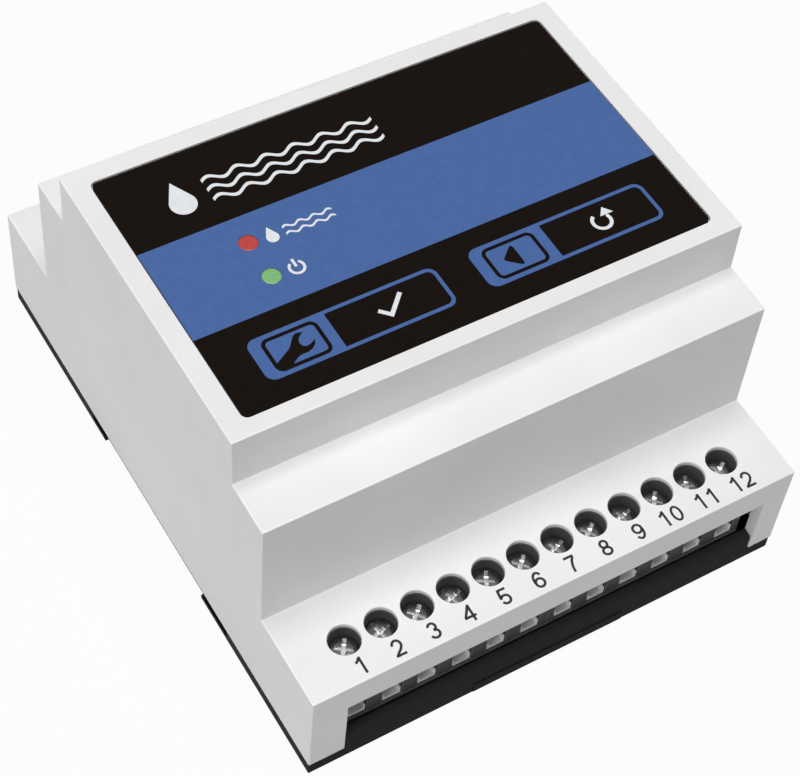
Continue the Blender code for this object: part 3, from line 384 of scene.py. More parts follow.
def add_box(shape, x, y, z, slot=0):
    """Adds a box that spans the given pairs."""
    size = Matrix.Diagonal((x[1] - x[0], y[1] - y[0], z[1] - z[0], 1.0))
    centre = Matrix.Translation((sum(x) / 2, sum(y) / 2, sum(z) / 2))
    made = bmesh.ops.create_cube(shape, size=1.0, matrix=centre @ size)
    for face in {face for vert in made["verts"] for face in vert.link_faces}:
        face.material_index = slot


def add_turned(shape, profile, centre, sides):
    """Adds a solid turned from radius and height pairs that start and end on the axis."""
    def grown():
        """The corners added so far."""
        return [vert for vert in shape.verts if vert not in before]

    before = set(shape.verts)
    verts = [shape.verts.new((radius, 0.0, height)) for radius, height in profile]
    edges = [shape.edges.new(pair) for pair in zip(verts, verts[1:])]
    bmesh.ops.spin(
        shape, geom=verts + edges, axis=(0, 0, 1), angle=math.tau, steps=sides, use_merge=True,
    )
    bmesh.ops.remove_doubles(shape, verts=grown(), dist=1e-5)
    bmesh.ops.translate(shape, vec=centre, verts=grown())


def add_prism(shape, outline, low, high, axis="Z", slot=0):
    """Adds a flat outline given depth along one axis and returns its corners."""
    order = {
        "X": lambda a, b, c: (c, a, b), "Y": lambda a, b, c: (a, c, b), "Z": lambda a, b, c: (a, b, c),
    }[axis]
    corners = [shape.verts.new(order(*pair, low)) for pair in outline]
    base = shape.faces.new(corners)
    base.material_index = slot
    grown = bmesh.ops.extrude_face_region(shape, geom=[base], use_keep_orig=True)
    lifted = [item for item in grown["geom"] if isinstance(item, bmesh.types.BMVert)]
    bmesh.ops.translate(shape, vec=Vector(order(0, 0, high - low)), verts=lifted)
    return corners + lifted


def pin(radius, low, high):
    """The profile of a plain round pin."""
    return [(0, high), (radius, high), (radius, low), (0, low)]


def rounded(half_x, half_y, corner, steps=8, middle=(0, 0)):
    """The outline of a rectangle with round corners."""
    points = []
    for quarter in range(4):
        sign_x = 1 if quarter in (0, 3) else -1
        sign_y = 1 if quarter in (0, 1) else -1
        for step in range(steps + 1):
            angle = math.pi / 2 * (quarter + step / steps)
            x = middle[0] + sign_x * (half_x - corner) + corner * math.cos(angle)
            y = middle[1] + sign_y * (half_y - corner) + corner * math.sin(angle)
            points.append((x, y))
    return points


def bake(target):
    """Turns the modifiers of an object into its plain mesh."""
    seen = bpy.context.evaluated_depsgraph_get()
    mesh = bpy.data.meshes.new_from_object(target.evaluated_get(seen))
    target.modifiers.clear()
    target.data = mesh


def bevel(target, width, segments=2, angle=40, material=-1):
    """Rounds the edges of an object, in a material of their own if one is named."""
    modifier = target.modifiers.new("edges", "BEVEL")
    modifier.width = width
    modifier.segments = segments
    modifier.limit_method = "ANGLE"
    modifier.angle_limit = math.radians(angle)
    modifier.material = material
    bake(target)


def combine(target, other, operation):
    """One exact Boolean, after which the other shape is gone."""
    modifier = target.modifiers.new("shape", "BOOLEAN")
    modifier.operation = operation
    modifier.solver = "EXACT"
    modifier.material_mode = "TRANSFER"
    modifier.object = other
    bake(target)
    bpy.data.objects.remove(other)


def cut(target, *others):
    """Takes the other shapes out of the target."""
    for other in others:
        combine(target, other, "DIFFERENCE")


def fuse(target, *others):
    """Makes the other shapes one with the target."""
    for other in others:
        combine(target, other, "UNION")


def cut_self(target, other):
    """Takes out a shape whose own parts may overlap."""
    modifier = target.modifiers.new("shape", "BOOLEAN")
    modifier.operation = "DIFFERENCE"
    modifier.solver = "EXACT"
    modifier.use_self = True
    modifier.object = other
    bake(target)
    bpy.data.objects.remove(other)


def place(piece, body="root", nodes=(), at=(0, 0, 0), angle=35):
    """Brings a shape to metres, smooths it and names its body and the nodes it replaces."""
    piece.data.transform(Matrix.Scale(MM, 4))
    piece.location = Vector(at) * MM
    piece.data.shade_smooth()
    piece.data.set_sharp_from_angle(angle=math.radians(angle))
    modifier = piece.modifiers.new("normals", "WEIGHTED_NORMAL")
    modifier.keep_sharp = True
    bake(piece)
    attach(piece, body)
    if nodes:
        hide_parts(*nodes)


def span(middle, half):
    """A pair around a middle."""
    return (middle - half, middle + half)


def pole_x(pole):
    """The place of one pole along the terminals, counted from 0."""
    return (pole - (POLES - 1) / 2) * PITCH


# Housing

def stepped(inset, front_roof, drop, foot):
    """The cover's side view, or the same one wall further in with its own roof over the terminals."""
    corners = [
        (HALF_Y, LEDGE_LOW), (STEP_FOOT, LEDGE_HIGH), (STEP_TOP, STEP_LOW),
        (NOSE_FOOT, STEP_HIGH), (NOSE_TOP, TOP_Z),
    ]
    half = [(HALF_Y - inset, foot)] + [(y - inset, z - drop) for y, z in corners]
    front = [(-y, z) for y, z in half]
    front[1] = (front[1][0], LEDGE_LOW - front_roof)
    front[2] = (front[2][0], LEDGE_HIGH - front_roof)
    return front + half[::-1]


def make_housing():
    """The stepped cover with softly rounded edges."""
    shape = bmesh.new()
    add_prism(shape, stepped(0, 0, 0, FOOT_Z - 3), -HALF_X, HALF_X, "X")
    cover = as_object("stepped_cover", shape, HOUSING, PAINTED_EDGE_HIGHLIGHT)
    bevel(cover, EDGE_ROUND, 3, material=1)
    # Only the rounded edges that face up, and not the right or the back, get the near-white edge
    # finish: a painted highlight where the lamps catch them.
    for face in cover.data.polygons:
        if face.normal.z < 0.2 or face.normal.x > 0.3 or face.normal.y > 0.3:
            face.material_index = 0
    hollow = bmesh.new()
    add_prism(hollow, stepped(WALL, ROOF, WALL, FOOT_Z - 6), -HALF_X + WALL, HALF_X - WALL, "X")
    foot = bmesh.new()
    add_box(foot, (-80, 80), (-BESIDE, BESIDE), (BELOW, FOOT_Z))
    slot = bmesh.new()
    add_box(slot, SLOT_X, (-BESIDE, -HALF_Y + WALL + 0.5), (BELOW, SLOT_TOP))
    seat = bmesh.new()
    add_prism(seat, rounded(LABEL_X + SEAT_GAP, LABEL_Y + SEAT_GAP, SEAT_CORNER), SEAT_Z, ABOVE)
    holes = bmesh.new()
    profile = [
        (0, 3), (HOLE_R + 0.06, 3), (HOLE_R + 0.06, 0.01), (HOLE_R + 0.02, -0.03), (HOLE_R, -0.10),
        (HOLE_R, -HOLE_LIP), (HOLE_RELIEF_R, -HOLE_LIP), (HOLE_RELIEF_R, -4), (0, -4),
    ]
    for pole in range(POLES):
        add_turned(holes, profile, (pole_x(pole), SCREW_Y, SCREW_Z), 64)
    wells = bmesh.new()
    for y in LAMPS.values():
        add_turned(wells, pin(LAMP_BORE_R, 40, ABOVE), (LAMP_X, y, 0), 48)
    for x in KEYS:
        add_turned(wells, pin(KEY_BORE_R, 40, ABOVE), (x, KEY_Y, 0), 48)
    cut(
        cover, as_object("hollow", hollow), as_object("foot", foot), as_object("slot", slot),
        as_object("seat", seat), as_object("holes", holes), as_object("wells", wells),
    )
    place(cover, nodes=["top_cover"])


def arc(centre, radii, start, end, steps=16):
    """Points along part of an ellipse, between two angles in degrees."""
    angles = [math.radians(start + (end - start) * step / steps) for step in range(steps + 1)]
    return [(centre[0] + radii[0] * math.cos(a), centre[1] + radii[1] * math.sin(a)) for a in angles]


def stroke(points, thick):
    """The outline of a line of even thickness along the given points."""
    left, right = [], []
    count = len(points)
    for index, point in enumerate(points):
        here = Vector(point)
        ways = []
        if index:
            ways.append((here - Vector(points[index - 1])).normalized())
        if index < count - 1:
            ways.append((Vector(points[index + 1]) - here).normalized())
        way = sum(ways, Vector((0, 0))).normalized()
        side = Vector((-way.y, way.x)) * thick / 2 / max(way.dot(ways[0]), 0.4)
        left.append(tuple(here + side))
        right.append(tuple(here - side))
    return left + right[::-1]


# The digits of a plain sans-serif: closed ovals as centre and radii, and open lines as points.
LOOPS = {
    "0": [((0, 1.18), (0.76, 1.18))],
    "6": [((0.03, 0.76), (0.74, 0.76))],
    "8": [((0, 1.70), (0.64, 0.66)), ((0, 0.68), (0.75, 0.68))],
    "9": [((-0.03, 1.60), (0.74, 0.76))],
}
STROKES = {
    "1": [[(0.18, 0.0), (0.18, 2.36)], [(0.14, 2.22), (-0.08, 1.93), (-0.5, 1.68)]],
    "2": [
        arc((0, 1.56), (0.56, 0.63), 175, -28) + [(0.22, 0.88), (-0.24, 0.52), (-0.55, 0.2)],
        [(-0.74, 0.17), (0.70, 0.17)],
    ],
    "3": [arc((-0.02, 1.68), (0.49, 0.51), 165, -88), arc((-0.02, 0.72), (0.58, 0.55), 88, -168)],
    "4": [[(0.32, 0.0), (0.32, 2.36)], [(-0.86, 0.70), (0.76, 0.70)], [(0.34, 2.24), (-0.72, 0.76)]],
    "5": [
        [(-0.44, 2.19), (0.62, 2.19)],
        [(-0.40, 2.30), (-0.56, 1.10)] + arc((0, 0.76), (0.59, 0.59), 148, -160),
    ],
    "6": [arc((0.06, 1.12), (0.63, 1.07), 200, 38)],
    "7": [[(-0.68, 2.19), (0.70, 2.19)], [(0.62, 2.12), (0.22, 1.55), (-0.08, 0.85), (-0.2, 0.0)]],
    "9": [arc((-0.06, 1.24), (0.63, 1.07), 20, -142)],
}


def add_digit(shape, digit, left, foot, low, high):
    """Adds one digit of a plain sans-serif, 2.36 mm tall."""
    points = 48
    last = 360 * (points - 1) / points
    for centre, radii in LOOPS.get(digit, []):
        at = (centre[0] + left, centre[1] + foot)
        outer, inner = (
            arc(at, (radii[0] - line, radii[1] - line), 0, last, points - 1) for line in (0, DIGIT_LINE)
        )
        add_frame(shape, outer, inner, low, high)
    for path in STROKES.get(digit, []):
        moved = [(x + left, y + foot) for x, y in path]
        add_prism(shape, stroke(moved, DIGIT_LINE), low, high)


def make_digits():
    """The numbers 1 to 12 printed on the terminal ledge."""
    slope = math.atan2(LEDGE_HIGH - LEDGE_LOW, HALF_Y - STEP_FOOT)
    turn = Matrix.Translation((0, -HALF_Y, LEDGE_LOW)) @ Matrix.Rotation(slope, 4, "X")
    for pole in range(POLES):
        shape = bmesh.new()
        word = str(pole + 1)
        middle = pole_x(pole) + DIGIT_SHIFT + DIGIT_SHIFTS[pole]
        for index, digit in enumerate(word):
            left = middle + (index - (len(word) - 1) / 2) * DIGIT_ADVANCE
            add_digit(shape, digit, left, DIGIT_FOOT + HALF_Y, -DIGIT_HALF_THICK, DIGIT_HALF_THICK)
        piece = as_object(f"printed_number_{pole + 1:02d}", shape, INK_GREY)
        piece.data.transform(turn)
        place(piece)


# Label

def ring(centre, outer, inner, start, end, steps=28):
    """The outline of a bent bar: part of a ring between two angles in degrees."""
    out, back = (arc(centre, (radius, radius), start, end, steps) for radius in (outer, inner))
    return out + back[::-1]


def bar(first, second, thick):
    """The outline of a straight bar between two points."""
    along = (Vector(second) - Vector(first)).normalized() * thick / 2
    side = Vector((-along.y, along.x))
    first, second = Vector(first) - along, Vector(second) + along
    return [tuple(p) for p in (first + side, first - side, second - side, second + side)]


def drop(centre, radius, steps=24):
    """The outline of a water drop, point up."""
    return arc(centre, (radius, radius), 150, 390, steps) + [(centre[0], centre[1] + radius * 2.15)]


def frame_outlines(half_x, half_y, corner, line, middle):
    """The outer and inner outline of a rounded frame."""
    outer = rounded(half_x, half_y, corner, 8, middle)
    inner = rounded(half_x - line, half_y - line, max(corner - line, 0.05), 8, middle)
    return outer, inner


def add_frame(shape, outer, inner, low, high):
    """Adds a closed frame between two outlines with the same count of points."""
    rings = [[shape.verts.new((x, y, z)) for x, y in outline] for outline, z in (
        (outer, low), (outer, high), (inner, high), (inner, low),
    )]
    count = len(outer)
    for first, second in zip(rings, rings[1:] + rings[:1]):
        for here in range(count):
            after = (here + 1) % count
            shape.faces.new((first[here], first[after], second[after], second[here]))


def lamp_windows():
    """The round windows that the two lamps fill."""
    shape = bmesh.new()
    for y in LAMPS.values():
        add_turned(shape, pin(LAMP_WINDOW_R, 43, 46), (LAMP_X, y, 0), 64)
    return as_object("windows", shape)


def ink(shape, name, finish, windows=False):
    """Turns a drawn layer of ink into its piece."""
    piece = as_object(name, shape, finish)
    if windows:
        cut(piece, lamp_windows())
    place(piece)


def make_label():
    """The film in its seat, with its colour fields and pictograms as thin layers of ink."""
    shape = bmesh.new()
    film_outline = rounded(LABEL_X + FILM_GROWTH, LABEL_Y + FILM_GROWTH, FILM_CORNER, 12)
    add_prism(shape, film_outline, LABEL_Z, LABEL_TOP)
    base = as_object("label_film", shape, INK_BLACK)
    cut(base, lamp_windows())
    place(base, nodes=["front_label"])
    low = LABEL_TOP - 0.02
    first, second, third = (LABEL_TOP + INK * layer for layer in (1, 2, 3))

    blue = bmesh.new()
    wide = LABEL_X + FILM_GROWTH + 0.015
    band = [(-wide, BAND_Y[0]), (wide, BAND_Y[0]), (wide, BAND_Y[1]), (-wide, BAND_Y[1])]
    add_prism(blue, band, LABEL_Z + 0.02, first)
    ink(blue, "label_blue_band", INK_BLUE, windows=True)

    keys = bmesh.new()
    marks = bmesh.new()
    foot, head = KEY_Y - KEY_HALF[1] + KEY_LINE, KEY_Y + KEY_HALF[1] - KEY_LINE
    for x in KEYS:
        add_prism(keys, rounded(*KEY_HALF, 1.3, 10, (x, KEY_Y)), low, first)
        left = x - KEY_HALF[0]
        right = x + KEY_HALF[0] - KEY_LINE
        add_prism(marks, corner_field(left + KEY_TAB, right, foot, head), low, second)
        frame_lines = frame_outlines(*PICTURE_HALF, 1.05, 0.5, (left + PICTURE_X, KEY_Y))
        add_frame(marks, *frame_lines, low, second)
    wrench = bmesh.new()
    add_wrench(wrench, (KEYS[0] - KEY_HALF[0] + PICTURE_X, KEY_Y), low, second - INK / 2)
    middle = KEYS[1] - KEY_HALF[0] + PICTURE_X
    triangle = [(middle - 1.75, KEY_Y), (middle + 0.45, KEY_Y - 1.95), (middle + 0.45, KEY_Y + 1.95)]
    add_prism(marks, soften(triangle, 0.4), low, second)
    ink(keys, "label_key_fields", INK_BLUE)
    ink(marks, "label_key_marks", INK_BLACK)
    ink(wrench, "label_wrench", INK_BLACK)

    # A drop with waves at the sensor lamp, a power ring, a tick, a turning arrow, and the large drop.
    white = bmesh.new()
    add_prism(white, drop((-16.8, 2.35), 0.82), low, third)
    for level in (2.05, 3.15):
        add_prism(white, wave(-15.1, level, 1.95, 0.22, 0.32, 3.5, 70), low, third)
    add_prism(white, ring((-16.5, -3.1), 1.12, 0.76, 125, 415), low, third)
    add_prism(white, bar((-16.5, -2.8), (-16.5, -1.9), 0.36), low, third)
    add_prism(white, stroke([(-11.3, -13.4), (-10.1, -14.6), (-7.6, -12.1)], 0.56), low, third)
    arrow = (20.3, -13.75)
    add_prism(white, ring(arrow, 1.45, 0.98, -240, 30), low, third)
    tip = [(arrow[0] + x, arrow[1] + y) for x, y in ((0.25, 0.7), (2.15, 0.7), (1.2, 1.95))]
    add_prism(white, tip, low, third)
    add_prism(white, drop((-23.9, 12.0), 1.75, 40), low, third)
    for level in (10.95, 12.6, 14.25):
        add_prism(white, wave(-20.3, level, 4.0, 0.46, 0.52, 6, 150), low, third)
    ink(white, "label_white_marks", INK_WHITE)


def corner_field(left, right, low, high, corner=0.85, steps=8):
    """A field with square corners at the left and round ones at the right."""
    points = [(left, high), (left, low)]
    for start, y in ((-90, low + corner), (0, high - corner)):
        points += arc((right - corner, y), (corner, corner), start, start + 90, steps)
    return points


def soften(points, radius, steps=6):
    """The outline of a polygon with its corners rounded."""
    made = []
    count = len(points)
    for index in range(count):
        here = Vector(points[index])
        before = (Vector(points[index - 1]) - here).normalized()
        after = (Vector(points[(index + 1) % count]) - here).normalized()
        half = before.angle(after) / 2
        reach = radius / math.tan(half)
        start, end = here + before * reach, here + after * reach
        for step in range(steps + 1):
            t = step / steps
            made.append(tuple((1 - t) ** 2 * start + 2 * t * (1 - t) * here + t ** 2 * end))
    return made


def wave(left, middle, period, swing, thick, waves, steps):
    """The outline of a wavy line."""
    top, bottom = [], []
    for step in range(steps + 1):
        x = left + period * waves * step / steps
        y = middle + swing * math.sin(math.tau * waves * step / steps)
        top.append((x, y + thick / 2))
        bottom.append((x, y - thick / 2))
    return top + bottom[::-1]


WRENCH = [
    (-0.11, 1.08), (0.37, 1.58), (0.85, 1.74), (1.60, 1.55), (1.09, 1.21), (0.68, 0.83),
    (0.5, 0.3), (0.61, -0.25), (1.0, -0.5), (1.57, -0.42), (2.36, -0.05), (2.11, -0.62),
    (1.53, -1.12), (0.78, -1.37), (0.14, -1.33), (-0.35, -1.4), (-0.89, -1.65), (-1.58, -2.12),
    (-3.20, -2.12), (-3.24, -1.17), (-1.09, 0.01), (-0.66, 0.37),
]


def add_wrench(shape, centre, low, high):
    """A plain open-jawed wrench whose handle starts in a corner of its frame."""
    add_prism(shape, [(x + centre[0], y + centre[1]) for x, y in WRENCH], low, high)


def make_lamp(name, y, finish):
    """One light guide with a faintly domed face."""
    shape = bmesh.new()
    profile = [
        (0, 44.64), (0.5, 44.635), (0.98, 44.62), (1.15, 44.6), (1.21, 44.56), (1.21, 42.8),
        (1.85, 42.8), (1.85, 42.1), (1.15, 42.1), (1.15, 41.9), (0, 41.9),
    ]
    add_turned(shape, profile, (LAMP_X, y, 0), 64)
    place(as_object(f"{name}_lamp", shape, finish), nodes=[f"{name}_light_guide"])


# Terminals

def make_block(index):
    """Three poles of the terminal strip, with chamfered entries, screw shafts and contact bars."""
    poles = range(index * POLES_A_BLOCK, (index + 1) * POLES_A_BLOCK)
    left, right = pole_x(poles[0]) - PITCH / 2 + BLOCK_GAP, pole_x(poles[-1]) + PITCH / 2 - BLOCK_GAP
    shape = bmesh.new()
    add_box(shape, (left, right), BLOCK_Y, BLOCK_Z)
    block = as_object(f"terminal_strip_{index + 1}", shape, DARK, NICKEL, SILL_PAINTED_HIGHLIGHT)
    bevel(block, 0.12, 2)
    skirt = bmesh.new()
    skirt_y, skirt_z = (BLOCK_Y[0] + 0.012, SKIRT_BACK), (SKIRT_LOW, BLOCK_Z[0] + 0.5)
    add_box(skirt, (left + 0.01, right - 0.01), skirt_y, skirt_z)
    collars = bmesh.new()
    for pole in poles:
        add_turned(collars, pin(COLLAR_R, *COLLAR_Z), (pole_x(pole), SCREW_Y, 0), 48)
    fuse(block, as_object("skirt", skirt), as_object("collars", collars))
    wells, entries, shafts, bars, mouths = (bmesh.new() for _ in range(5))
    low, high = ENTRY_Z
    for pole in poles:
        x = pole_x(pole)
        add_box(wells, span(x, WELL_HALF), WELL_Y, (0, WELL_TOP))
        add_box(entries, span(x, ENTRY_HALF), (-BESIDE / 2, WELL_Y[0] + 0.5), ENTRY_Z)
        profile = [
            (0, 20), (SHAFT_R + 0.03, 20), (SHAFT_R + 0.03, COLLAR_Z[1]), (SHAFT_R, 17.15),
            (SHAFT_R, 15.6), (SHAFT_R - 0.02, 15.55), (SHAFT_R - 0.02, 13.5), (0, 13.5),
        ]
        add_turned(shafts, profile, (x, SCREW_Y, 0), 64)
        add_box(bars, span(x, BAR_HALF), (CAGE_Y[0] + 0.5, WELL_Y[1] + 0.5), BAR_Z, 1)
        wide = ENTRY_HALF + MOUTH_WIDER
        foot, head = low - MOUTH_LOWER, high + MOUTH_HIGHER
        outline = [(x - wide, foot), (x + wide, foot), (x + wide, head), (x - wide, head)]
        # Its inner end lies a hair inside the entry, so that the two cuts share no face.
        for vert in add_prism(mouths, outline, *MOUTH_Y, "Y"):
            if vert.co.y > -41:
                vert.co.x = x + (vert.co.x - x) * (ENTRY_HALF - 0.003) / wide
                vert.co.z = low + 0.002 if vert.co.z < 8 else high - 0.002
    cut(
        block, as_object("wells", wells), as_object("entries", entries), as_object("shafts", shafts),
        as_object("mouths", mouths),
    )
    # The sill takes the lighter grey, a painted highlight along the lower front edge.
    sill = bmesh.new()
    add_box(sill, (left + 0.02, right - 0.02), SILL_Y, SILL_Z, 2)
    fuse(block, as_object("bars", bars, DARK, NICKEL), as_object("sill", sill, DARK, NICKEL, SILL_PAINTED_HIGHLIGHT))
    place(block, nodes=[f"terminal_block_{index + 1}"])


def make_cage(pole):
    """One clamp cage bent from strip, with a tongue, a grooved shoe and a roof with a hole for the
    screw.
    """
    shape = bmesh.new()
    low, high = CAGE_Z
    add_prism(shape, rounded(CAGE_HALF, (high - low) / 2, 0.4, 5, (0, (low + high) / 2)), *CAGE_Y, "Y")
    cage = as_object(f"cage_{pole + 1:02d}", shape, NICKEL)
    tongue = bmesh.new()
    half, floor, rim = TONGUE_HALF, CAGE_WINDOW[0], CAGE_WINDOW[0] + TONGUE_RIM
    side = [
        (half, low), (half, rim), (half - 0.22, rim), (half - 0.24, floor + 0.2),
        (half - 0.32, floor + 0.06), (half - 0.46, floor),
    ]
    add_prism(tongue, side + [(-x, z) for x, z in reversed(side)], TONGUE_FRONT, CAGE_Y[0] + 0.5, "Y")
    fuse(cage, as_object("tongue", tongue))
    window = bmesh.new()
    tall = (CAGE_WINDOW[1] - CAGE_WINDOW[0]) / 2
    outline = rounded(CAGE_HALF - CAGE_SIDE, tall, 0.15, 3, (0, sum(CAGE_WINDOW) / 2))
    add_prism(window, outline, CAGE_Y[0] - 0.2, -30, "Y")
    cut(cage, as_object("window", window))
    bevel(cage, 0.06, 1, 50)
    grooves = bmesh.new()
    for step in range(4):
        y = CAGE_Y[0] + 1.2 + step * 1.05
        outline = [(y - 0.22, floor + 0.05), (y, floor - 0.17), (y + 0.22, floor + 0.05)]
        add_prism(grooves, outline, -1.1, 1.1, "X")
    hole = bmesh.new()
    add_turned(hole, pin(SHANK_R + 0.1, 10, 13), (0, SCREW_Y, 0), 32)
    cut(cage, as_object("grooves", grooves), as_object("hole", hole))
    cage.data.transform(Matrix.Translation((0, -SCREW_Y, -low)))
    name = f"clamp_cage_{pole + 1:02d}"
    place(cage, name, [name], (pole_x(pole), SCREW_Y, low))


def make_screw(pole):
    """One clamp screw with a tapering cross recess and a threaded shank."""
    low = SHANK_LOW - HEAD_Z
    shape = bmesh.new()
    profile = [
        (0, HEAD_HIGH), (HEAD_R - 0.42, HEAD_HIGH), (HEAD_R - 0.16, HEAD_HIGH - 0.07),
        (HEAD_R - 0.04, HEAD_HIGH - 0.2), (HEAD_R, HEAD_HIGH - 0.34), (HEAD_R, 0.1),
        (HEAD_R - 0.1, 0), (SHANK_R, 0),
    ]
    for turn in range(THREAD_TURNS):
        top = low * turn / THREAD_TURNS
        step = low / THREAD_TURNS
        root = (SHANK_R - THREAD_DEPTH, top + step * 0.5)
        profile += [(SHANK_R, top + step * 0.12), root, (SHANK_R, top + step * 0.88)]
    profile += [(SHANK_R - 0.25, low), (0, low)]
    add_turned(shape, profile, (0, 0, 0), 64)
    screw = as_object(f"screw_{pole + 1:02d}", shape, ZINC)
    cross = bmesh.new()
    arm_outline = [(-0.2, -0.31), (1.58, -0.28), (1.58, 0.28), (-0.2, 0.31)]
    for quarter in range(4):
        arm = add_prism(cross, arm_outline, 0.55, 1.6)
        for vert in arm:
            if vert.co.z < 1:
                vert.co.x *= 0.72
                vert.co.y *= 0.62
        turn = Matrix.Rotation(quarter * math.pi / 2, 3, "Z")
        bmesh.ops.rotate(cross, verts=arm, cent=(0, 0, 0), matrix=turn)
    cut_self(screw, as_object("cross", cross))
    screw.data.transform(Matrix.Rotation(math.radians(SCREW_TURNS[pole]), 4, "Z"))
    name = f"clamp_screw_{pole + 1:02d}"
    place(screw, name, [name], (pole_x(pole), SCREW_Y, HEAD_Z))


# Base and latch

def make_base():
    """The base tray with its rail recess, latch way and sloped lip."""
    shape = bmesh.new()
    add_box(shape, span(0, BASE_HALF_X), span(0, BASE_HALF_Y), (0, FOOT_Z))
    base = as_object("base_moulding", shape, BLACK, LIP_PAINTED_LIGHT)
    bevel(base, 0.1, 2)
    rim = bmesh.new()
    add_box(rim, span(0, RIM_HALF_X), span(0, RIM_HALF_Y), (2.0, 6.5))
    fuse(base, as_object("rim", rim))
    cavity = bmesh.new()
    add_box(cavity, span(0, CAVITY_HALF_X), span(0, CAVITY_HALF_Y), (3.1, 9))
    front = bmesh.new()
    add_box(front, span(0, 2 * HALF_X), (-2 * HALF_Y, -32.0), (4.4, 12))
    cut(base, as_object("cavity", cavity), as_object("front", front))
    lip = bmesh.new()
    outline = [
        (-BASE_HALF_Y, 2.0), (-BASE_HALF_Y, 4.78), (-42.82, 4.85), (-42.75, 4.88), (-41.5, 5.11),
        (-41.4, 5.08), (-41.4, 4.4), (-39.9, 4.4), (-39.9, 2.0),
    ]
    add_prism(lip, outline, SLOT_X[0] + 0.2, SLOT_X[1] - 0.2, "X")
    lightened = as_object("lip", lip, BLACK, LIP_PAINTED_LIGHT)
    # The lip's upward front slope takes the lighter black, painted light in place of the fascia's
    # shade.
    for face in lightened.data.polygons:
        face.material_index = int(face.normal.z > 0.5 and face.center.y < -41.4)
    fuse(base, lightened)
    channel = bmesh.new()
    seat, lip_z = RAIL_SEAT_Z, RAIL_LIP_Z
    outline = [
        (-14.2, -3), (-14.2, lip_z), (-21.3, lip_z), (-21.3, seat),
        (17.8, seat), (17.8, lip_z), (14.2, lip_z), (14.2, -3),
    ]
    add_prism(channel, outline, -40, 40, "X")
    way = bmesh.new()
    add_box(way, span(0, LATCH_HALF + 0.03), (-46, -11.2), (-3, seat + 0.03))
    grooves = bmesh.new()
    add_box(grooves, (-12.8, 12.8), (POST_Y[0], -21.6), (0.9, 1.8))
    cut(base, as_object("channel", channel), as_object("way", way), as_object("grooves", grooves))
    post = bmesh.new()
    add_box(post, (-1.3, 1.3), POST_Y, (0.4, 2.6))
    fuse(base, as_object("post", post))
    place(base, nodes=["base_tray"])


def make_latch():
    """The sliding rail latch with its side flanges, spring window, ramp and tool slot."""
    shape = bmesh.new()
    add_box(shape, span(0, LATCH_HALF), LATCH_Y, (LATCH_LOW, RAIL_SEAT_Z))
    latch = as_object("rail_latch_slide", shape, BLACK)
    bevel(latch, 0.03, 1)
    flange = bmesh.new()
    add_box(flange, (-12.6, 12.6), (-33.9, -21.9), (1.0, 1.7))
    fuse(latch, as_object("flange", flange))
    window = bmesh.new()
    add_box(window, (-1.6, 1.6), (-38.0, -25.9), (-3, 5))
    ramp = bmesh.new()
    add_prism(ramp, [(-14.7, -3), (-21.5, -3), (-17.7, 0.8), (-14.7, 0.8)], -36, 36, "X")
    slot = bmesh.new()
    add_box(slot, (-1.6, 1.6), (-41.8, -39.6), (-3, 0.95))
    cut(latch, as_object("window", window), as_object("ramp", ramp), as_object("slot", slot))
    latch.data.transform(Matrix.Translation((0, HALF_Y, -LATCH_LOW)))
    place(latch, "rail_latch", ["rail_latch"], (0, -HALF_Y, LATCH_LOW))


make_housing()
make_digits()
make_label()
make_lamp("sensor", LAMPS["sensor"], RED)
make_lamp("power", LAMPS["power"], GREEN)
for number in range(POLES // POLES_A_BLOCK):
    make_block(number)
for number in range(POLES):
    make_cage(number)
    make_screw(number)
make_base()
make_latch()


# Floor, lamps and camera

def make_floor():
    """A plain pale floor that the camera sees as white apart from the object's soft shadow."""
    shape = bmesh.new()
    bmesh.ops.create_grid(shape, x_segments=1, y_segments=1, size=1.5)
    floor = as_object("floor", shape)
    material = bpy.data.materials.new("finish_floor")
    material.use_nodes = True
    tree = material.node_tree
    tree.nodes.remove(tree.nodes["Principled BSDF"])
    paper = tree.nodes.new("ShaderNodeBsdfDiffuse")
    paper.inputs["Color"].default_value = (FLOOR_GREY, FLOOR_GREY, FLOOR_GREY, 1.0)
    white = tree.nodes.new("ShaderNodeEmission")
    white.inputs["Color"].default_value = (1, 1, 1, 1)
    both = tree.nodes.new("ShaderNodeMixShader")
    share = tree.nodes.new("ShaderNodeMath")
    share.operation = "MULTIPLY"
    share.inputs[1].default_value = FLOOR_WHITE_SHARE
    for source, target in (
        (seen_directly(tree), share.inputs[0]), (share.outputs[0], both.inputs[0]),
        (paper.outputs[0], both.inputs[1]), (white.outputs[0], both.inputs[2]),
        (both.outputs[0], tree.nodes["Material Output"].inputs["Surface"]),
    ):
        tree.links.new(source, target)
    floor.data.materials.append(material)


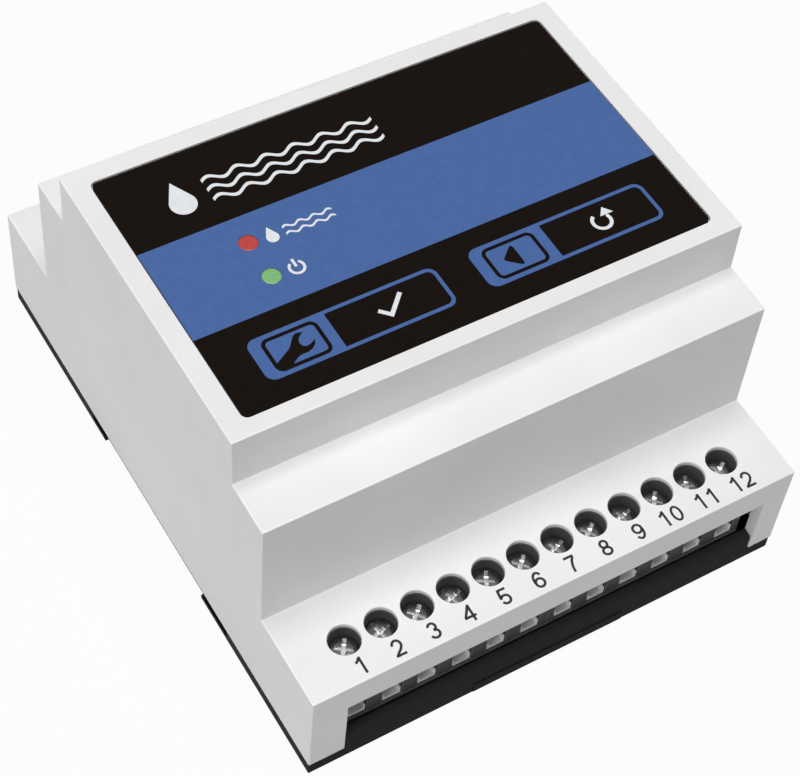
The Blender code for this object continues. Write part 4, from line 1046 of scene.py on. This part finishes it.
def seen_directly(tree):
    """1 for camera, glossy and transmitted rays and 0 for all other light."""
    path = tree.nodes.new("ShaderNodeLightPath")
    value = path.outputs["Is Camera Ray"]
    for name in ("Is Glossy Ray", "Is Transmission Ray"):
        most = tree.nodes.new("ShaderNodeMath")
        most.operation = "MAXIMUM"
        tree.links.new(value, most.inputs[0])
        tree.links.new(path.outputs[name], most.inputs[1])
        value = most.outputs[0]
    return value


def make_world():
    """White to the camera and in reflections, and an even soft fill otherwise."""
    world = bpy.data.worlds.new("studio")
    bpy.context.scene.world = world
    world.use_nodes = True
    tree = world.node_tree
    background = tree.nodes["Background"]
    background.inputs["Color"].default_value = (1, 1, 1, 1)
    strength = tree.nodes.new("ShaderNodeMapRange")
    strength.inputs["To Min"].default_value = FILL
    strength.inputs["To Max"].default_value = BACKDROP
    tree.links.new(seen_directly(tree), strength.inputs["Value"])
    tree.links.new(strength.outputs[0], background.inputs["Strength"])


def add_lamp(name, at, watts, size):
    """A square soft lamp that looks at the object."""
    light = bpy.data.lights.new(name, "AREA")
    light.energy = watts
    light.size = size
    made = bpy.data.objects.new(name, light)
    bpy.context.scene.collection.objects.link(made)
    made.location = at
    made.rotation_euler = (Vector(AIM) - Vector(at)).to_track_quat("-Z", "Y").to_euler()


make_floor()
make_world()
add_lamp("overhead", (0.0, -0.02, 0.95), 6.0, 0.5)
add_lamp("side", (-0.79, -0.29, 0.37), 2.2, 0.4)

# The camera that was fitted to the photo
camera_data = bpy.data.cameras.new("camera")
camera_data.sensor_fit = "HORIZONTAL"
camera_data.sensor_width = 36
camera_data.lens = 93.77
camera_data.clip_start = 0.01
camera = bpy.data.objects.new("camera", camera_data)
bpy.context.scene.collection.objects.link(camera)
camera.matrix_world = Matrix((
    (0.85880723, 0.37053561, -0.35377042, -0.09898),
    (-0.5077688, 0.70729654, -0.49183579, -0.14138),
    (0.06797792, 0.60202571, 0.7955778, 0.23393),
    (0, 0, 0, 1),
))
bpy.context.scene.camera = camera
bpy.context.scene.view_settings.view_transform = "Standard"
